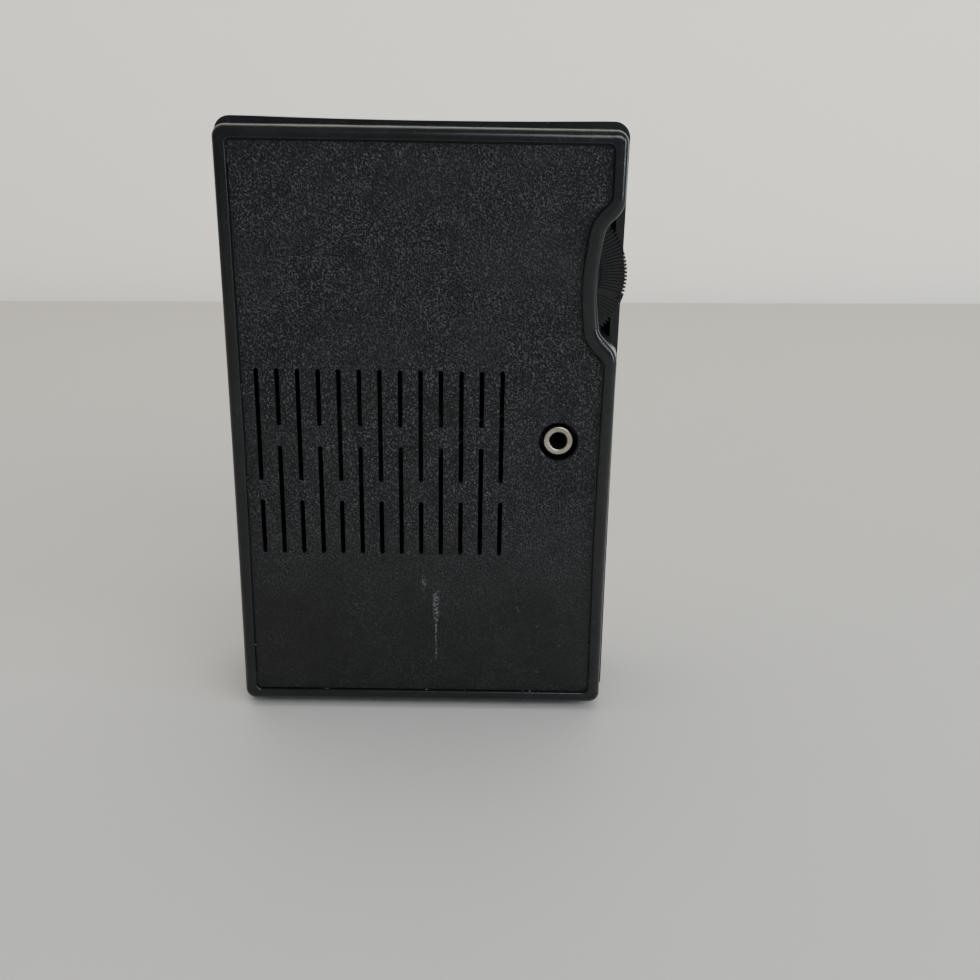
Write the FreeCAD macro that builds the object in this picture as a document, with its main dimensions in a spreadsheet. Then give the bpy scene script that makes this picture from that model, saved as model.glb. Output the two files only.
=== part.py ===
import FreeCAD, Part
import Sketcher
import math
import os
import re
from FreeCAD import Rotation, Vector

# Transistor pocket radio, millimetres. +Z is up, the front faces -Y and the back faces +Y.
# The origin is at the middle of the outer box, at the bottom of the feet.

DIMENSIONS = [
    # case: Y places are measured from the origin, the front ones as distances in front of it
    ("case_width", 78.0, "front housing, outer width at the parting line"),
    ("case_height", 120.8, "front housing, outer height at the corners"),
    ("case_side_bow", 0.27, "how far the housing's long sides have drawn in"),
    ("case_top_bow", 0.45, "how far the housing's top and underside have drawn in"),
    ("case_corner", 3.0, "front housing, corner radius"),
    ("case_draft", 2.0, "draft of the housing walls, degrees"),
    ("case_wall", 1.75, "wall thickness of housing and cover"),
    ("front_edge_round", 2.0, "round on the housing's front edge"),
    ("foot_height", 0.5, "height of the housing's underside above the table"),
    ("front_plane", 14.0, "front face, in front of the origin"),
    ("parting_plane", 8.5, "plane where housing and cover meet"),
    ("rear_plane", 16.0, "crest of the cover's rim"),
    # rear cover
    ("cover_inset", 0.35, "step from the housing's sides to the cover's"),
    ("cover_bottom", 1.25, "height of the cover's lower edge at the parting line"),
    ("cover_top", 120.0, "height of the cover's upper edge at the parting line"),
    ("cover_side_bow", 0.2, "how far the cover's long sides have drawn in"),
    ("cover_corner", 2.6, "cover, corner radius at the parting line"),
    ("cover_draft", 5.5, "draft of the cover's sides, degrees"),
    ("cover_top_draft", 0.4, "draft of the cover's top, degrees"),
    ("cover_bottom_draft", 4.6, "draft of the cover's underside, degrees"),
    ("cover_foot_width", 3.0, "width of a foot under the cover"),
    ("cover_foot_depth", 2.2, "a cover foot, front to back"),
    ("cover_foot_place", 5.6, "middle of a cover foot, in front of the rim's crest"),
    ("foot_side", 25.0, "feet, distance from the middle"),
    ("foot_round", 0.8, "corner radius of the feet"),
    ("front_foot_width", 6.0, "width of a foot under the housing"),
    ("front_foot_depth", 3.0, "a housing foot, front to back"),
    ("front_foot_place", 5.0, "middle of a housing foot, behind the front face"),
    ("cover_edge_round", 1.5, "round on the rim's outer edge"),
    ("rim_width", 2.43, "rim's width at its crest along the straight sides"),
    ("notch_rim_width", 2.95, "rim's width at its crest round the notch"),
    ("rim_height", 0.5, "rim's crest above the grained panel"),
    ("panel_corner", 1.1, "corner radius of the grained panel"),
    ("rim_inner_round", 0.35, "round on the rim's inner edge"),
    ("groove_width", 0.3, "fine groove round the panel"),
    ("groove_depth", 0.35, "depth of that groove under the panel"),
    ("panel_thickness", 1.8, "thickness of the grained panel"),
    # thumb notch in the cover's side, corner heights and depths at the parting line
    ("notch_top", 105.6, "height where the notch leaves the side, above"),
    ("notch_upper", 102.1, "height of the upper inner corner"),
    ("notch_middle", 91.3, "height of the deepest place"),
    ("notch_lower", 82.7, "height of the lower inner corner"),
    ("notch_bottom", 78.7, "height where the notch meets the side, below"),
    ("notch_upper_depth", 3.38, "depth at the upper inner corner"),
    ("notch_middle_depth", 4.97, "depth where the two long tangents cross"),
    ("notch_lower_depth", 3.72, "depth at the lower inner corner"),
    ("notch_outer_round", 5.5, "radius of the notch's outer corners"),
    ("notch_inner_round", 3.0, "radius of the notch's inner corners"),
    ("notch_floor_round", 52.0, "radius of the notch's long shallow floor"),
    # slots in the cover
    ("slot_pitch", 4.0, "distance from one column of slots to the next"),
    ("slot_columns", 13, "number of columns"),
    ("slot_width", 0.88, "width of a slot"),
    ("slot_long", 23.0, "length of the long slots"),
    ("slot_short", 11.5, "length of the short slots"),
    ("slot_field", 38.75, "height of the whole field of slots"),
    ("slot_end_round", 0.3, "radius in the ends of a slot"),
    # loudspeaker, behind the slots
    ("speaker_side", 8.15, "loudspeaker and slot field, distance from the middle"),
    ("speaker_height", 55.4, "loudspeaker axis, height"),
    ("speaker_radius", 25.0, "loudspeaker, outer radius"),
    ("speaker_play", 0.2, "gap between the loudspeaker and the ring round it"),
    ("speaker_ring_wall", 1.2, "thickness and height of that ring"),
    ("speaker_mouth", 22.5, "radius of the loudspeaker's opening in the front wall"),
    ("magnet_radius", 11.0, "radius of the loudspeaker's magnet"),
    ("magnet_thickness", 4.6, "thickness of that magnet"),
    ("yoke_radius", 10.2, "radius of the plate behind the magnet"),
    ("yoke_thickness", 1.2, "thickness of that plate"),
    # volume wheel
    ("wheel_side", 25.6, "volume wheel axis, distance from the middle"),
    ("wheel_height", 93.0, "volume wheel axis, height"),
    ("wheel_radius", 13.9, "volume wheel, over its teeth"),
    ("wheel_tooth", 0.45, "depth of its teeth"),
    ("wheel_teeth", 120, "teeth in a full turn"),
    ("wheel_front", 8.75, "front face of the wheel"),
    ("wheel_thickness", 2.55, "thickness of the wheel, ribs included"),
    ("wheel_rib", 0.35, "height of the face ribs"),
    ("wheel_hub", 8.8, "radius of the smooth hub disc"),
    ("wheel_clearance", 0.5, "gap round the wheel in the cover"),
    ("wheel_play", 0.35, "gap between the wheel's face and the cover"),
    ("wheel_screw_seat", 3.0, "radius of the seat for the wheel's screw"),
    ("index_inset", 1.3, "index dimple, distance from the wheel's rim"),
    ("index_radius", 0.65, "radius of the index dimple"),
    ("index_depth", 0.45, "depth of the index dimple"),
    # earphone jack
    ("jack_side", 27.2, "jack axis, distance from the middle"),
    ("jack_height", 60.6, "jack axis, height"),
    ("jack_radius", 2.95, "outer radius of the bushing"),
    ("jack_bore", 1.75, "bore radius of the bushing"),
    ("jack_depth", 0.8, "how far the bushing stays below the panel"),
    ("jack_hole", 3.85, "radius of the hole in the cover"),
    # front: grille, dial plate and tuning dial
    ("front_plate_width", 66.0, "width of the grille and of the dial plate"),
    ("grille_height", 59.0, "height of the speaker grille"),
    ("grille_middle", 51.5, "height of the grille's middle"),
    ("dial_plate_height", 31.0, "height of the dial plate"),
    ("dial_height", 100.5, "tuning axis and dial plate, height of the middle"),
    ("plate_thickness", 0.8, "thickness of grille and dial plate, and depth of their seats"),
    ("louvre_pitch", 3.6, "distance from one louvre of the grille to the next"),
    ("louvre_rows", 15, "number of rows of louvres"),
    ("louvre_length", 27.5, "length of a louvre"),
    ("louvre_width", 1.5, "width of a louvre"),
    ("louvre_bar", 2.5, "width of the bar between the two columns of louvres"),
    ("plate_corner", 1.4, "corner radius of the front plates"),
    ("plate_seat_corner", 1.5, "corner radius of their seats"),
    ("dial_side", 15.0, "tuning axis, distance from the middle"),
    ("dial_radius", 15.0, "tuning dial, over its teeth"),
    ("dial_teeth", 90, "teeth of the tuning dial"),
    ("dial_face", 16.0, "front face of the tuning dial, in front of the origin"),
    ("dial_tooth_ring", 0.5, "step from the dial's teeth to its smooth rim"),
    ("dial_hub_wall", 1.2, "wall of the dial's hub round the shaft"),
    ("dial_cap_radius", 7.5, "radius of the metal disc in the dial"),
    ("dial_cap_thickness", 0.35, "thickness of that disc"),
    ("dial_cap_seat", 0.4, "depth of the seat for it"),
    ("scale_inner", 8.3, "inner radius of the sunk ring for the scale"),
    ("scale_outer", 13.9, "outer radius of that ring"),
    ("scale_depth", 0.15, "depth of that ring"),
    ("dial_gap", 0.15, "gap between the tuning dial and the plate behind it"),
    ("shaft_radius", 3.0, "radius of the tuning shaft"),
    ("shaft_fit", 0.05, "radial clearance of a turning shaft"),
    ("shaft_hole_play", 1.6, "gap round the tuning shaft in the front wall"),
    ("shaft_rear", 6.2, "rear end of the tuning shaft, in front of the origin"),
    ("shaft_front", 0.25, "front end of the tuning shaft, behind the front face"),
    ("dial_hub_reach", 3.6, "length of the dial's hub behind the disc"),
    ("dial_bore_end", 4.0, "end of the bore in that hub, behind the front face"),
    ("dial_screw_seat", 0.8, "depth of the seat for the dial's screw"),
    ("dial_edge_round", 0.5, "round on the dial's front edge"),
    ("dial_tooth_step", 0.6, "teeth of the dial behind its face"),
    ("pointer_length", 7.0, "length of the pointer on the dial plate"),
    ("pointer_half_width", 1.3, "half the pointer's width at its broad end"),
    ("pointer_thickness", 1.2, "how far the pointer stands out"),
    ("pointer_gap", 0.6, "gap between the pointer's tip and the dial"),
    # strap recess in the top
    ("strap_side", 26.075, "strap recess, distance from the middle"),
    ("strap_width", 6.75, "strap recess, width"),
    ("strap_depth", 5.0, "strap recess, front to back"),
    ("strap_drop", 3.0, "strap recess, depth below the top"),
    ("strap_pin_radius", 0.7, "radius of the strap pin"),
    ("strap_back", 2.0, "middle of the strap recess, in front of the origin"),
    ("strap_pin_drop", 1.6, "strap pin's axis under the top"),
    ("strap_pin_reach", 1.0, "depth of the strap pin's hole in each wall"),
    ("strap_pin_play", 0.1, "gap at each end of the strap pin"),
    ("strap_wall", 1.2, "thickness of the walls round the strap recess"),
    # chassis
    ("board_rear", 0.8, "component side of the circuit board"),
    ("board_thickness", 1.6, "thickness of the circuit board"),
    ("board_half_width", 35.5, "half the circuit board's width"),
    ("board_top", 115.0, "upper edge of the circuit board"),
    ("board_step", 83.0, "lower edge of the board's wide part"),
    ("board_foot", 32.0, "lower edge of the board's leg"),
    ("board_leg_edge", 18.5, "inner edge of the board's leg, distance from the middle"),
    ("post_radius", 2.6, "radius of the posts that carry the board"),
    ("screw_radius", 1.0, "radius of the small screws"),
    ("volume_body_radius", 8.5, "radius of the volume control's body"),
    ("volume_body_rear", 7.2, "rear face of the volume control's body"),
    ("volume_shaft_radius", 2.0, "radius of the volume shaft"),
    ("volume_collar", 1.0, "length of the volume control's collar"),
    ("volume_collar_radius", 3.5, "radius of that collar"),
    ("volume_bore_depth", 4.0, "depth of the bore that the volume shaft turns in"),
    ("volume_shaft_seat", 1.4, "depth of the shaft's seat in the wheel"),
    ("capacitor_side", 20.0, "side of the square tuning capacitor"),
    ("capacitor_depth", 8.4, "tuning capacitor, front to back"),
    ("ferrite_radius", 4.0, "radius of the aerial's ferrite rod"),
    ("ferrite_length", 60.0, "length of the ferrite rod"),
    ("ferrite_start", 31.0, "end of the ferrite rod, distance from the middle"),
    ("ferrite_play", 0.05, "gap between the rod and what it carries"),
    ("coil_radius", 5.0, "radius of the aerial coil"),
    ("coil_start", 2.0, "near end of the aerial coil, distance from the middle"),
    ("coil_length", 20.0, "length of the aerial coil"),
    ("holder_thickness", 2.5, "thickness of the holders under the rod"),
    ("can_side", 9.2, "side of a screening can"),
    ("can_depth", 11.2, "screening can, front to back"),
    ("can_lift", 1.6, "screening cans above the edge of the board"),
    ("core_hole", 2.4, "radius of the hole over a tuning core"),
    ("core_radius", 2.2, "radius of a tuning core"),
    ("core_sink", 1.0, "tuning core's foot under the can's top"),
    ("core_thickness", 0.6, "thickness of a tuning core"),
    ("core_slot", 0.5, "width of the slot in a tuning core"),
    ("core_slot_length", 3.2, "length of that slot"),
    ("lamination_width", 13.6, "width of a transformer's core"),
    ("lamination_height", 10.0, "height of a transformer's core"),
    ("lamination_depth", 8.0, "transformer's core, front to back"),
    ("lamination_limb", 2.0, "width of the core round its window"),
    ("winding_play", 0.1, "gap between a winding and its core"),
    ("winding_depth", 9.6, "transformer's winding, front to back"),
    ("transistor_radius", 2.3, "radius of a transistor's can"),
    ("transistor_can", 4.6, "height of a transistor's can"),
    ("transistor_lift", 2.4, "gap under a transistor's can"),
    ("leg_pitch", 1.2, "distance from one leg of a transistor to the next"),
    ("resistor_radius", 0.9, "radius of a resistor"),
    ("resistor_length", 4.6, "length of a resistor's body"),
    ("resistor_lift", 1.6, "resistor's axis above the board"),
    ("resistor_leg", 0.7, "how far a resistor's legs stand off its ends"),
    ("disc_radius", 2.1, "radius of a disc capacitor"),
    ("disc_thickness", 1.0, "thickness of a disc capacitor"),
    ("disc_lift", 3.1, "disc capacitor's middle above the board"),
    ("jack_body_side", 10.0, "side of the jack's square body"),
    ("jack_body_rear", 10.0, "rear face of the jack's body"),
    # battery, a standard nine-volt block lying on its side
    ("battery_length", 46.4, "battery body without its terminals"),
    ("battery_thickness", 17.5, "battery, front to back"),
    ("battery_width", 26.5, "battery, height as it lies"),
    ("battery_left", 16.5, "terminal end of the battery, distance from the middle"),
    ("battery_bottom", 3.5, "underside of the battery"),
    ("battery_front", 10.8, "front side of the battery, in front of the origin"),
    ("battery_corner", 2.0, "radius along the battery's long edges"),
    ("terminal_height", 2.9, "how far the battery's terminals stand out"),
    ("stud_radius", 2.85, "radius of the small terminal"),
    ("stud_rise", 6.9, "small terminal's axis above the battery's underside"),
    ("cup_radius", 3.7, "outer radius of the large terminal"),
    ("cup_bore", 3.0, "bore radius of the large terminal"),
    ("cup_depth", 2.4, "depth of the bore in the large terminal"),
    ("cup_rise", 19.6, "large terminal's axis above the battery's underside"),
    ("snap_thickness", 2.6, "thickness of the snap connector on the terminals"),
    ("snap_depth", 12.5, "snap connector, front to back"),
    ("snap_height", 24.0, "height of the snap connector"),
    ("snap_margin", 2.5, "battery's front side to the snap connector's"),
    ("snap_rise", 1.2, "snap connector above the battery's underside"),
    ("pad_thickness", 5.6, "thickness of the foam behind the battery"),
    ("pad_margin", 1.0, "how much narrower the foam is on each side"),
    ("pad_gap", 0.1, "gap between the battery and the foam"),
    # screws, wires and play
    ("screw_head", 0.8, "height of a small screw's head"),
    ("screw_head_radius", 2.3, "radius of the wheel's screw's head, and of the dial screw's seat"),
    ("dial_screw_head_radius", 2.2, "radius of the dial screw's head"),
    ("board_screw_head_radius", 2.0, "radius of the board screws' heads"),
    ("screw_slot_width", 0.4, "width of the slot in a head"),
    ("screw_slot_depth", 0.25, "depth of that slot"),
    ("screw_thread_play", 0.05, "gap round a screw in what it is driven into"),
    ("screw_hole_play", 0.1, "gap round a screw in what it holds down"),
    ("wire_radius", 0.25, "radius of the legs of the small parts"),
    ("plate_play", 0.1, "gap round each front plate in its seat"),
]

SHEET_NAME = "dims"
NODES = []

document = FreeCAD.newDocument("pocket_radio")
sheet = document.addObject("Spreadsheet::Sheet", SHEET_NAME)
for row, (alias, number, meaning) in enumerate(DIMENSIONS, start=1):
    sheet.set(f"A{row}", str(number))
    sheet.setAlias(f"A{row}", alias)
    sheet.set(f"B{row}", meaning)
document.recompute()
ALIASES = {alias for alias, _, _ in DIMENSIONS}


# ---- expressions over the sheet ----

def formula(text):
    """The text with every alias written as a cell of the sheet."""
    def cell(match):
        word = match.group(0)
        return f"{SHEET_NAME}.{word}" if word in ALIASES else word
    return re.sub(r"[A-Za-z_]+", cell, str(text))


def value(text):
    """The number that a formula has now."""
    return float(sheet.evalExpression(formula(text)))


def bind(thing, path, text):
    thing.setExpression(path, formula(text))


# ---- PartDesign bodies ----

def new_body(label):
    body = document.addObject("PartDesign::Body", label)
    body.Label = label
    NODES.append(body)
    return body


def origin_feature(body, role):
    return next(feature for feature in body.Origin.OriginFeatures if feature.Role == role)


def sketch_at(body, name, plane_y):
    """An upright sketch, X to the right and Z up, in the plane Y = plane_y."""
    sketch = body.newObject("Sketcher::SketchObject", name)
    sketch.AttachmentSupport = [(origin_feature(body, "XZ_Plane"), "")]
    sketch.MapMode = "FlatFace"
    bind(sketch, "AttachmentOffset.Base.z", f"-({plane_y})")
    return sketch


def level_sketch_at(body, name, height):
    """A level sketch, X to the right and Y to the back, in the plane Z = height."""
    sketch = body.newObject("Sketcher::SketchObject", name)
    sketch.AttachmentSupport = [(origin_feature(body, "XY_Plane"), "")]
    sketch.MapMode = "FlatFace"
    bind(sketch, "AttachmentOffset.Base.z", height)
    return sketch


def profile_sketch_at(body, name, plane_x):
    """A sketch for a turned piece, Y to the right and Z up, in the plane X = plane_x."""
    sketch = body.newObject("Sketcher::SketchObject", name)
    sketch.AttachmentSupport = [(origin_feature(body, "YZ_Plane"), "")]
    sketch.MapMode = "FlatFace"
    bind(sketch, "AttachmentOffset.Base.z", plane_x)
    return sketch


def constrain(sketch, text, *arguments):
    index = sketch.addConstraint(Sketcher.Constraint(*arguments, value(text)))
    bind(sketch, f"Constraints[{index}]", text)


def add_circle(sketch, across, up, radius):
    centre = Vector(value(across), value(up), 0)
    index = sketch.addGeometry(Part.Circle(centre, Vector(0, 0, 1), value(radius)), False)
    constrain(sketch, across, "DistanceX", -1, 1, index, 3)
    constrain(sketch, up, "DistanceY", -1, 1, index, 3)
    constrain(sketch, radius, "Radius", index)


def add_rectangle(sketch, across, up, width, height, corner):
    """A rounded rectangle about the point (across, up), held by five bound constraints."""
    half_width, half_height, round_radius = value(width) / 2, value(height) / 2, value(corner)
    middle = Vector(value(across), value(up), 0)
    edges = []
    arcs = []
    for quarter in range(4):
        turn = Rotation(Vector(0, 0, 1), 90 * quarter)
        reach, side = (half_width, half_height) if quarter % 2 == 0 else (half_height, half_width)
        start = middle + turn.multVec(Vector(-reach + round_radius, -side, 0))
        end = middle + turn.multVec(Vector(reach - round_radius, -side, 0))
        hub = middle + turn.multVec(Vector(reach - round_radius, -side + round_radius, 0))
        first = math.radians(90 * quarter - 90)
        circle = Part.Circle(hub, Vector(0, 0, 1), round_radius)
        edges.append(sketch.addGeometry(Part.LineSegment(start, end), False))
        arcs.append(sketch.addGeometry(Part.ArcOfCircle(circle, first, first + math.pi / 2), False))
    rules = []
    for quarter in range(4):
        following = edges[(quarter + 1) % 4]
        rules.append(Sketcher.Constraint("Tangent", edges[quarter], 2, arcs[quarter], 1))
        rules.append(Sketcher.Constraint("Tangent", arcs[quarter], 2, following, 1))
        rules.append(Sketcher.Constraint("Vertical" if quarter % 2 else "Horizontal", edges[quarter]))
    for arc in arcs[1:]:
        rules.append(Sketcher.Constraint("Equal", arcs[0], arc))
    sketch.addConstraint(rules)
    bottom, right, top, left = edges
    constrain(sketch, corner, "Radius", arcs[0])
    constrain(sketch, f"{across} - ({width}) / 2", "DistanceX", -1, 1, left, 1)
    constrain(sketch, f"{across} + ({width}) / 2", "DistanceX", -1, 1, right, 1)
    constrain(sketch, f"{up} - ({height}) / 2", "DistanceY", -1, 1, bottom, 1)
    constrain(sketch, f"{up} + ({height}) / 2", "DistanceY", -1, 1, top, 1)


def add_outline(sketch, corners):
    """A closed outline of corners (x, z, radius), each round corner an arc."""
    count = len(corners)
    spans = []
    for index, (x, z, radius) in enumerate(corners):
        here = Vector(x, z, 0)
        back = (Vector(*corners[index - 1][:2], 0) - here).normalize()
        ahead = (Vector(*corners[(index + 1) % count][:2], 0) - here).normalize()
        half_turn = (math.pi - back.getAngle(ahead)) / 2
        reach = radius * math.tan(half_turn)
        middle = (back + ahead).normalize() * (radius / math.cos(half_turn) - radius)
        spans.append((here + back * reach, here + middle, here + ahead * reach))
    pieces = []
    for index, (entry, middle, leave) in enumerate(spans):
        pieces.append(Part.Arc(entry, middle, leave))
        pieces.append(Part.LineSegment(leave, spans[(index + 1) % count][0]))
    for piece in pieces:
        index = sketch.addGeometry(piece, False)
        sketch.addConstraint(Sketcher.Constraint("Block", index))


def inset_corners(corners, distances):
    """The same outline moved inwards, each edge by its own distance (edge i leaves corner i)."""
    count = len(corners)
    points = [Vector(x, z, 0) for x, z, _ in corners]
    inset = []
    for index, (_, _, radius) in enumerate(corners):
        into = (points[index] - points[index - 1]).normalize()
        out = (points[(index + 1) % count] - points[index]).normalize()
        turn = into.x * out.y - into.y * out.x
        left_in = Vector(-into.y, into.x, 0)
        left_out = Vector(-out.y, out.x, 0)
        first, second = distances[index - 1], distances[index]
        # the point on both moved lines
        base = points[index] + left_in * first
        along = (left_out.dot(points[index] - base) + second) / left_out.dot(into)
        moved = base + into * along
        change = -(first + second) / 2 if turn > 0 else (first + second) / 2
        inset.append((moved.x, moved.y, max(radius + change, 0.3)))
    return inset


def grow(body, kind, name, sketch, length, backwards):
    feature = body.newObject(f"PartDesign::{kind}", name)
    feature.Profile = sketch
    bind(feature, "Length", length)
    sketch.Visibility = False
    # an upright sketch looks to the front, so a pad grows forwards and a pocket cuts backwards
    feature.Reversed = backwards if kind == "Pad" else not backwards
    return feature


def pad(body, name, sketch, length, backwards=True, draft=None):
    feature = grow(body, "Pad", name, sketch, length, backwards)
    if draft:
        bind(feature, "TaperAngle", draft)
    document.recompute()
    return feature


def pocket(body, name, sketch, length, backwards=True, draft=None):
    """Cut the sketch into the body and make sure that it took something away."""
    before = body.Shape.Volume
    feature = grow(body, "Pocket", name, sketch, length, backwards)
    if draft:
        bind(feature, "TaperAngle", draft)
    document.recompute()
    if not body.Shape.Volume < before:
        raise RuntimeError(f"{name} cuts nothing from {body.Label}")
    return feature


def turn(body, name, sketch, across, up):
    """Turn a profile sketch about the line along Y at (across, up)."""
    axis = body.newObject("PartDesign::Line", f"{name}_axis")
    axis.Placement.Rotation = Rotation(Vector(1, 0, 0), -90)
    bind(axis, "Placement.Base.x", across)
    bind(axis, "Placement.Base.z", up)
    feature = body.newObject("PartDesign::Revolution", name)
    feature.Profile = sketch
    feature.ReferenceAxis = (axis, [""])
    feature.Angle = 360
    document.recompute()
    return feature


def repeat_along(body, name, feature, role, step, count):
    pattern = body.newObject("PartDesign::LinearPattern", name)
    pattern.Originals = [feature]
    pattern.Direction = (origin_feature(body, role), [""])
    pattern.Mode = "Spacing"
    bind(pattern, "Offset", step)
    bind(pattern, "Occurrences", count)
    body.Tip = pattern
    document.recompute()
    return pattern


def dress(body, kind, name, edges, size):
    """A fillet or chamfer on the edges of the body's tip that the test picks."""
    base = body.Tip
    names = [f"Edge{i}" for i, edge in enumerate(base.Shape.Edges, start=1) if edges(edge)]
    if not names:
        raise RuntimeError(f"{name} finds no edge on {body.Label}")
    feature = body.newObject(f"PartDesign::{kind}", name)
    feature.Base = (base, names)
    bind(feature, "Radius" if kind == "Fillet" else "Size", size)
    document.recompute()
    return feature


def lies_in_plane(edge, y):
    box = edge.BoundBox
    return abs(box.YMin - y) < 1e-4 and abs(box.YMax - y) < 1e-4


# ---- primitives ----

def place(solid, corner):
    for letter, text in zip("xyz", corner):
        bind(solid, f"Placement.Base.{letter}", text)
    return solid


def block(label, corner, size):
    solid = document.addObject("Part::Box", label)
    for path, text in zip(("Length", "Width", "Height"), size):
        bind(solid, path, text)
    return place(solid, corner)


TURNS = {
    "x": Rotation(Vector(0, 1, 0), 90),
    "y": Rotation(Vector(1, 0, 0), -90),
    "z": Rotation(),
}


def rod(label, start, radius, length, along="y"):
    """A cylinder whose first end is centred on start."""
    solid = document.addObject("Part::Cylinder", label)
    solid.Placement.Rotation = TURNS[along]
    bind(solid, "Radius", radius)
    bind(solid, "Height", length)
    return place(solid, start)


def fuse(label, solids):
    joined = document.addObject("Part::MultiFuse", label)
    joined.Shapes = solids
    return joined


def cut(label, base, tool):
    left = document.addObject("Part::Cut", label)
    left.Base = base
    left.Tool = tool
    return left


def group(label, solids):
    """Separate solids that share one node."""
    together = document.addObject("Part::Compound", label)
    together.Links = solids
    return together


def keep(solid):
    """Hand the solid in as a node."""
    NODES.append(solid)
    return solid


# ---- case ----

def bowed(start, end, corner, bow):
    """The middle corner of a side that has drawn in to its left by a little, as one long arc."""
    middle = ((start[0] + end[0]) / 2, (start[1] + end[1]) / 2)
    reach = math.dist(start, middle)
    inwards = ((start[1] - end[1]) / (2 * reach), (end[0] - start[0]) / (2 * reach))
    radius = (reach - corner) * 0.98 / math.tan(math.atan2(2 * bow, reach))
    return (middle[0] + inwards[0] * 2 * bow, middle[1] + inwards[1] * 2 * bow, radius)


def case_corners(inset):
    """The housing's outline at the parting line, anticlockwise in X and Z."""
    half = value("case_width / 2") - inset
    low = value("foot_height") + inset
    high = value("foot_height + case_height") - inset
    corner = max(value("case_corner") - inset, 0.5)
    side_bow, top_bow = value("case_side_bow"), value("case_top_bow")
    points = [(half, low), (half, high), (-half, high), (-half, low)]
    corners = []
    for index, bow in enumerate((side_bow, top_bow, side_bow, top_bow)):
        start, end = points[index], points[(index + 1) % 4]
        corners.append((*start, corner))
        corners.append(bowed(start, end, corner, bow))
    return corners


def cover_corners():
    """The cover's outline at the parting line, anticlockwise in X and Z, with the thumb notch at -X."""
    half = value("case_width / 2 - cover_inset")
    low = value("cover_bottom")
    high = value("cover_top")
    corner = value("cover_corner")
    bow = value("cover_side_bow")
    outer, inner = value("notch_outer_round"), value("notch_inner_round")
    return [
        (half, low, corner),
        bowed((half, low), (half, high), corner, bow),
        (half, high, corner),
        (-half, high, corner),
        (-half, value("notch_top"), outer),
        (-half + value("notch_upper_depth"), value("notch_upper"), inner),
        (-half + value("notch_middle_depth"), value("notch_middle"), value("notch_floor_round")),
        (-half + value("notch_lower_depth"), value("notch_lower"), inner),
        (-half, value("notch_bottom"), outer),
        bowed((-half, value("notch_bottom")), (-half, low), outer, bow),
        (-half, low, corner),
    ]


def rim_distances(side, notch, top, bottom):
    """One inset for each edge of the cover's outline, in the order of its corners."""
    return [side, side, top, side, notch, notch, notch, notch, side, side, bottom]


def crest_corners():
    """The cover's outline where its drafted sides reach the crest of the rim."""
    side, top, bottom = (value(f"(rear_plane - parting_plane) * tan({draft} * 1deg)")
                         for draft in ("cover_draft", "cover_top_draft", "cover_bottom_draft"))
    return inset_corners(cover_corners(), rim_distances(side, side, top, bottom))


def panel_corners(margin):
    """The grained panel's outline, widened by a margin."""
    side, notch = value("rim_width") - margin, value("notch_rim_width") - margin
    corners = inset_corners(crest_corners(), rim_distances(side, notch, side, side))
    least, most = value("panel_corner") + margin, value("notch_floor_round")
    return [(x, z, max(min(radius, most), least)) for x, z, radius in corners]


def make_front_housing():
    body = new_body("front_housing")
    shell = sketch_at(body, "outline", "parting_plane")
    add_outline(shell, case_corners(0))
    pad(body, "box", shell, "front_plane + parting_plane", backwards=False, draft="-case_draft")
    front = -value("front_plane")
    dress(body, "Fillet", "front_round", lambda edge: lies_in_plane(edge, front), "front_edge_round")
    hollow = sketch_at(body, "hollow_outline", "parting_plane")
    add_outline(hollow, case_corners(value("case_wall")))
    pocket(body, "hollow", hollow, "front_plane + parting_plane - case_wall", backwards=False,
           draft="-case_draft")
    add_strap_recess(body)
    add_posts(body)
    ring = sketch_at(body, "speaker_ring_outline", "-front_plane + case_wall")
    add_circle(ring, "speaker_side", "speaker_height", "speaker_radius + speaker_play + speaker_ring_wall")
    add_circle(ring, "speaker_side", "speaker_height", "speaker_radius + speaker_play")
    pad(body, "speaker_ring", ring, "speaker_ring_wall")
    mouth = sketch_at(body, "speaker_mouth_outline", "-front_plane")
    add_circle(mouth, "speaker_side", "speaker_height", "speaker_mouth")
    pocket(body, "speaker_mouth", mouth, "case_wall")
    for name, up, height in (("grille", "grille_middle", "grille_height"),
                             ("dial", "dial_height", "dial_plate_height")):
        seat = sketch_at(body, f"{name}_seat_outline", "-front_plane")
        add_rectangle(seat, "0", up, "front_plate_width", height, "plate_seat_corner")
        pocket(body, f"{name}_seat", seat, "plate_thickness")
    shaft = sketch_at(body, "shaft_hole_outline", "-front_plane")
    add_circle(shaft, "dial_side", "dial_height", "shaft_radius + shaft_hole_play")
    pocket(body, "shaft_hole", shaft, "case_wall")
    for side, name in (("-foot_side", "left"), ("foot_side", "right")):
        foot = level_sketch_at(body, f"{name}_foot_outline", "0")
        add_rectangle(foot, side, "front_foot_place - front_plane", "front_foot_width",
                      "front_foot_depth", "foot_round")
        pad(body, f"{name}_foot", foot, "foot_height + case_wall", backwards=False)


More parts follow.
